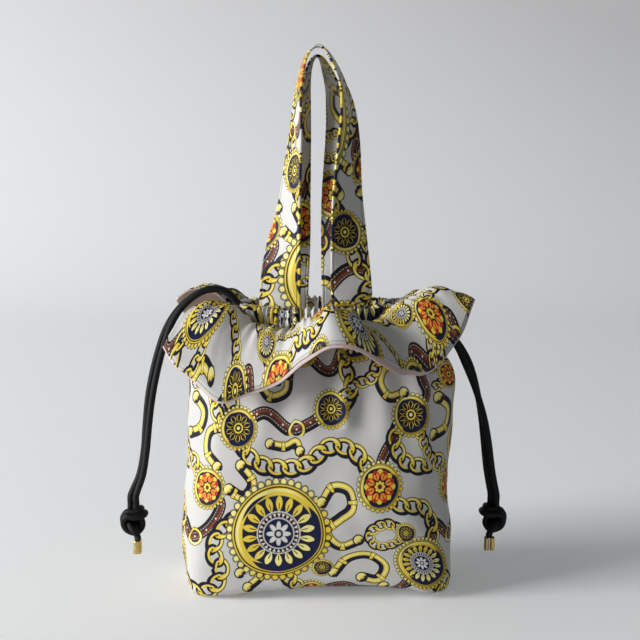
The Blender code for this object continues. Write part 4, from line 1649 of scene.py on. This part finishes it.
def cloth_vector(tree, stretch):
    """The place on the flat cloth, in metres, stretched by these factors."""
    read = tree.nodes.new("ShaderNodeUVMap")
    read.uv_map = "cloth"
    scale = tree.nodes.new("ShaderNodeVectorMath")
    scale.operation = "MULTIPLY"
    scale.inputs[1].default_value = stretch
    tree.links.new(read.outputs["UV"], scale.inputs[0])
    return scale.outputs[0]


def tinted(colour, share=1.0):
    """The colour as plain numbers, times this share."""
    return tuple(share * value for value in colour)


def new_material(name):
    """A material of this name, its nodes and its shader."""
    made = bpy.data.materials.new(name)
    made.use_nodes = True
    return made, made.node_tree, made.node_tree.nodes["Principled BSDF"]


def bumped(tree, shader, height, strength, distance, before=None):
    """Raises the surface by this field. It comes after an earlier bump where one is given."""
    bump = tree.nodes.new("ShaderNodeBump")
    bump.inputs["Strength"].default_value = strength
    bump.inputs["Distance"].default_value = distance
    tree.links.new(height.socket, bump.inputs["Height"])
    if before:
        tree.links.new(before.outputs[0], bump.inputs["Normal"])
    tree.links.new(bump.outputs[0], shader.inputs["Normal"])
    return bump


def printed_satin(colours):
    """Light grey satin with the print on it, fine threads, small creases, and painted shade in its hems'
    pressed grooves.
    """
    _, tree, shader = new_material("printed satin")
    inks = {
        "gold": tinted(colours.gold),
        "pale": tinted(colours.pale_gold),
        "navy": tinted(colours.navy),
        "line": (0.0045, 0.0045, 0.0085),
        "brown": tinted(colours.brown),
        "rust": tinted(colours.brown, 2.6),
        "dark": (0.030, 0.014, 0.012),
        "red": tinted(colours.red),
        "orange": tinted(colours.orange),
        "white": (0.74, 0.73, 0.70),
    }
    cloudy = noise_field(tree, cloth_vector(tree, (1, 1, 1)), 9.0)
    ground = cloudy.band(0.2, 0.8, 0.5).colour(tinted(colours.ground, 0.96), tinted(colours.ground))
    colour, strap_mask = strap_ink(tree, inks, ground)
    colour, chain_mask = chain_ink(tree, inks, colour)
    colour, rosette_mask = rosette_ink(tree, inks, colour)
    threads = noise_field(tree, cloth_vector(tree, (900, 5200, 1)), 1.0, 1.0)
    colour = (threads * 0.035).colour(colour, (0.42, 0.41, 0.40))
    read = tree.nodes.new("ShaderNodeAttribute")
    read.attribute_name = "hem"
    near, far = HEM_LINE
    groove_and_shade = Field(tree, read.outputs["Fac"]).band(HEM_EDGE - far, HEM_EDGE - near, 0.5)
    # The hem's pressed groove is darkened in colour as painted shade; the bump below presses it in.
    colour = (groove_and_shade * 0.30).colour(colour, (0.10, 0.09, 0.08))
    tree.links.new(colour.socket, shader.inputs["Base Color"])
    inked = strap_mask.either(chain_mask).either(rosette_mask)
    rough = inked.choose(0.40, 0.47) + (threads - 0.5) * 0.06
    tree.links.new(rough.socket, shader.inputs["Roughness"])
    shader.inputs["Specular IOR Level"].default_value = 0.14
    shader.inputs["Sheen Weight"].default_value = 0.02
    shader.inputs["Sheen Roughness"].default_value = 0.35
    creases = noise_field(tree, cloth_vector(tree, (60, 34, 1)), 1.0, 3.0)
    first = bumped(tree, shader, creases, 0.35, 0.0016)
    second = bumped(tree, shader, threads, 0.18, 0.00012, first)
    bumped(tree, shader, groove_and_shade * -1, 0.8, 0.0005, second)


def pink_lining(colours):
    """Plain woven lining with a fine crossed thread."""
    _, tree, shader = new_material("pink lining")
    across = noise_field(tree, cloth_vector(tree, (400, 3600, 1)), 1.0, 1.0)
    along = noise_field(tree, cloth_vector(tree, (3600, 400, 1)), 1.0, 1.0)
    weave = across.either(along)
    tone = weave.band(0.3, 0.9, 0.5).colour(tinted(colours.lining, 0.86), tinted(colours.lining))
    tree.links.new(tone.socket, shader.inputs["Base Color"])
    shader.inputs["Roughness"].default_value = 0.62
    shader.inputs["Specular IOR Level"].default_value = 0.3
    shader.inputs["Sheen Weight"].default_value = 0.15
    creases = noise_field(tree, cloth_vector(tree, (70, 50, 1)), 1.0, 3.0)
    first = bumped(tree, shader, creases, 0.4, 0.0012)
    bumped(tree, shader, weave, 0.3, 0.00015, first)


def black_cord(colours):
    """Black braid: fine strands that run around the cord both ways, with painted shade between them."""
    _, tree, shader = new_material("black cord")
    read = tree.nodes.new("ShaderNodeUVMap")
    split = tree.nodes.new("ShaderNodeSeparateXYZ")
    tree.links.new(read.outputs["UV"], split.inputs[0])
    around, along = (Field(tree, socket) for socket in split.outputs[:2])
    pitch = 2 * math.pi / BRAID_PITCH
    one_way = ((around + along * 0.8) * pitch).math("SINE")
    other_way = ((around - along * 0.8) * pitch).math("SINE")
    braid = one_way.either(other_way) * 0.5 + 0.5
    # Darker between the strands, where the braid's bump is lowest: painted shade.
    tone = braid.colour(tinted(colours.cord, 0.5), tinted(colours.cord))
    tree.links.new(tone.socket, shader.inputs["Base Color"])
    shader.inputs["Roughness"].default_value = 0.55
    shader.inputs["Specular IOR Level"].default_value = 0.20
    bumped(tree, shader, braid, 0.35, 0.00022)


def brass(colours):
    """Thin polished brass with drawn streaks and a little tarnish."""
    _, tree, shader = new_material("brass")
    place = tree.nodes.new("ShaderNodeTexCoord")
    stretch = tree.nodes.new("ShaderNodeVectorMath")
    stretch.operation = "MULTIPLY"
    stretch.inputs[1].default_value = (2200, 2200, 240)
    tree.links.new(place.outputs["Object"], stretch.inputs[0])
    streaks = noise_field(tree, stretch.outputs[0], 1.0, 2.0)
    tarnish = noise_field(tree, place.outputs["Object"], 420.0, 2.0)
    tone = tarnish.band(0.35, 0.9, 0.3).colour(tinted(colours.brass), tinted(colours.brass, 0.72))
    tree.links.new(tone.socket, shader.inputs["Base Color"])
    shader.inputs["Metallic"].default_value = 1.0
    tree.links.new((streaks * 0.22 + 0.20).socket, shader.inputs["Roughness"])
    bumped(tree, shader, streaks, 0.12, 0.0001)


class POUCH_OT_finishes(bpy.types.Operator):
    """Mix the materials of the satin, the lining, the cords and the brass."""

    bl_idname = "pouch.finishes"
    bl_label = "Finishes"

    def execute(self, context):
        colours = context.scene.pouch_colours
        printed_satin(colours)
        pink_lining(colours)
        black_cord(colours)
        brass(colours)
        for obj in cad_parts.values():
            if obj.name.endswith("_end"):
                obj.data.materials.clear()
                obj.data.materials.append(paint("black cord"))
        return {"FINISHED"}


def pale_backdrop():
    """The floor's and the wall's white: to the eye it glows a little with painted light, less to the right
    as painted shade, and less by the pouch as a painted shadow.
    """
    made, tree, surface = new_material("pale backdrop")
    surface.inputs["Base Color"].default_value = (0.77, 0.775, 0.785, 1.0)
    surface.inputs["Roughness"].default_value = 0.9
    surface.inputs["Specular IOR Level"].default_value = 0.1
    rays = tree.nodes.new("ShaderNodeLightPath")
    seen = Field(tree, rays.outputs["Is Camera Ray"])
    for other in ("Is Glossy Ray", "Is Transmission Ray"):
        seen = seen.either(Field(tree, rays.outputs[other]))
    place = tree.nodes.new("ShaderNodeTexCoord")
    split = tree.nodes.new("ShaderNodeSeparateXYZ")
    tree.links.new(place.outputs["Object"], split.inputs[0])
    x, y, z = (Field(tree, socket) for socket in split.outputs)
    # The glow is painted light, less to the right and higher up; beside the pouch it is less again, a
    # painted shadow on the floor.
    painted_shadow_beside = far_from_middle(x - 0.17, y - 0.04).under(0.15, 0.22)
    glow = (x * -0.082 + 0.228 - z * 0.335 + y * 0.012 - painted_shadow_beside * 0.085).math("MAXIMUM", 0.0)
    surface.inputs["Emission Color"].default_value = (0.95, 0.98, 1.0, 1.0)
    tree.links.new((glow * seen).socket, surface.inputs["Emission Strength"])
    return made


def soft_room():
    """The room's light from all around, and the paler one that the camera sees."""
    world = bpy.data.worlds.new("soft room")
    world.use_nodes = True
    tree = world.node_tree
    background = tree.nodes["Background"]
    background.inputs["Color"].default_value = (0.93, 0.96, 1.0, 1.0)
    sight = Field(tree, tree.nodes.new("ShaderNodeLightPath").outputs["Is Camera Ray"])
    tree.links.new(sight.choose(0.138, 0.60).socket, background.inputs["Strength"])
    return world


class POUCH_OT_stage(bpy.types.Operator):
    """Set the pale floor and backdrop, and the soft light of a window at the left."""

    bl_idname = "pouch.stage"
    bl_label = "Stage"

    def execute(self, context):
        profile = [(FLOOR_FRONT, 0.0), (FLOOR_BACK, 0.0)]
        steps = 16
        for step in range(1, steps + 1):
            turn = math.pi / 2 * step / steps
            profile.append((FLOOR_BACK + CURVE * math.sin(turn), CURVE * (1 - math.cos(turn))))
        profile.append((FLOOR_BACK + CURVE, WALL_TOP))
        shape = bmesh.new()
        rows = [[shape.verts.new((x, y, z)) for x in (-STAGE_SIDE, STAGE_SIDE)] for y, z in profile]
        for low, high in zip(rows, rows[1:]):
            shape.faces.new((low[0], low[1], high[1], high[0]))
        new_object("floor_and_backdrop", shape, pale_backdrop())
        context.scene.world = soft_room()
        for name, place, size, power, colour in LIGHTS:
            light = bpy.data.lights.new(name, "AREA")
            light.size = size
            light.energy = power
            light.color = colour
            lamp = bpy.data.objects.new(name, light)
            lamp.location = place
            lamp.rotation_euler = (LIGHTS_AIM - lamp.location).to_track_quat("-Z", "Y").to_euler()
            context.scene.collection.objects.link(lamp)
        return {"FINISHED"}


STEPS = (
    POUCH_OT_camera,
    POUCH_OT_finishes,
    POUCH_OT_cords,
    POUCH_OT_knots,
    POUCH_OT_tips,
    POUCH_OT_body,
    POUCH_OT_casings,
    POUCH_OT_frills,
    POUCH_OT_handles,
    POUCH_OT_stage,
)


class POUCH_PT_panel(bpy.types.Panel):
    """The pouch's pieces, sizes and colours."""

    bl_idname = "POUCH_PT_panel"
    bl_label = "Drawstring Pouch"
    bl_space_type = "VIEW_3D"
    bl_region_type = "UI"
    bl_category = "Pouch"

    def draw(self, context):
        column = self.layout.column()
        for step in STEPS:
            column.operator(step.bl_idname)
        for group in (context.scene.pouch_sizes, context.scene.pouch_colours):
            for name in group.bl_rna.properties.keys():
                if name not in ("rna_type", "name"):
                    column.prop(group, name)


CLASSES = (PouchSizes, PouchColours, *STEPS, POUCH_PT_panel)


def register():
    for made in CLASSES:
        bpy.utils.register_class(made)
    bpy.types.Scene.pouch_sizes = bpy.props.PointerProperty(type=PouchSizes)
    bpy.types.Scene.pouch_colours = bpy.props.PointerProperty(type=PouchColours)


def unregister():
    del bpy.types.Scene.pouch_colours
    del bpy.types.Scene.pouch_sizes
    for made in reversed(CLASSES):
        bpy.utils.unregister_class(made)


def main():
    register()
    bpy.ops.pouch.camera()
    bpy.ops.pouch.finishes()
    bpy.ops.pouch.cords()
    bpy.ops.pouch.knots()
    bpy.ops.pouch.tips()
    bpy.ops.pouch.body()
    bpy.ops.pouch.casings()
    bpy.ops.pouch.frills()
    bpy.ops.pouch.handles()
    bpy.ops.pouch.stage()
    bpy.context.view_layer.update()


if __name__ == "__main__":
    main()
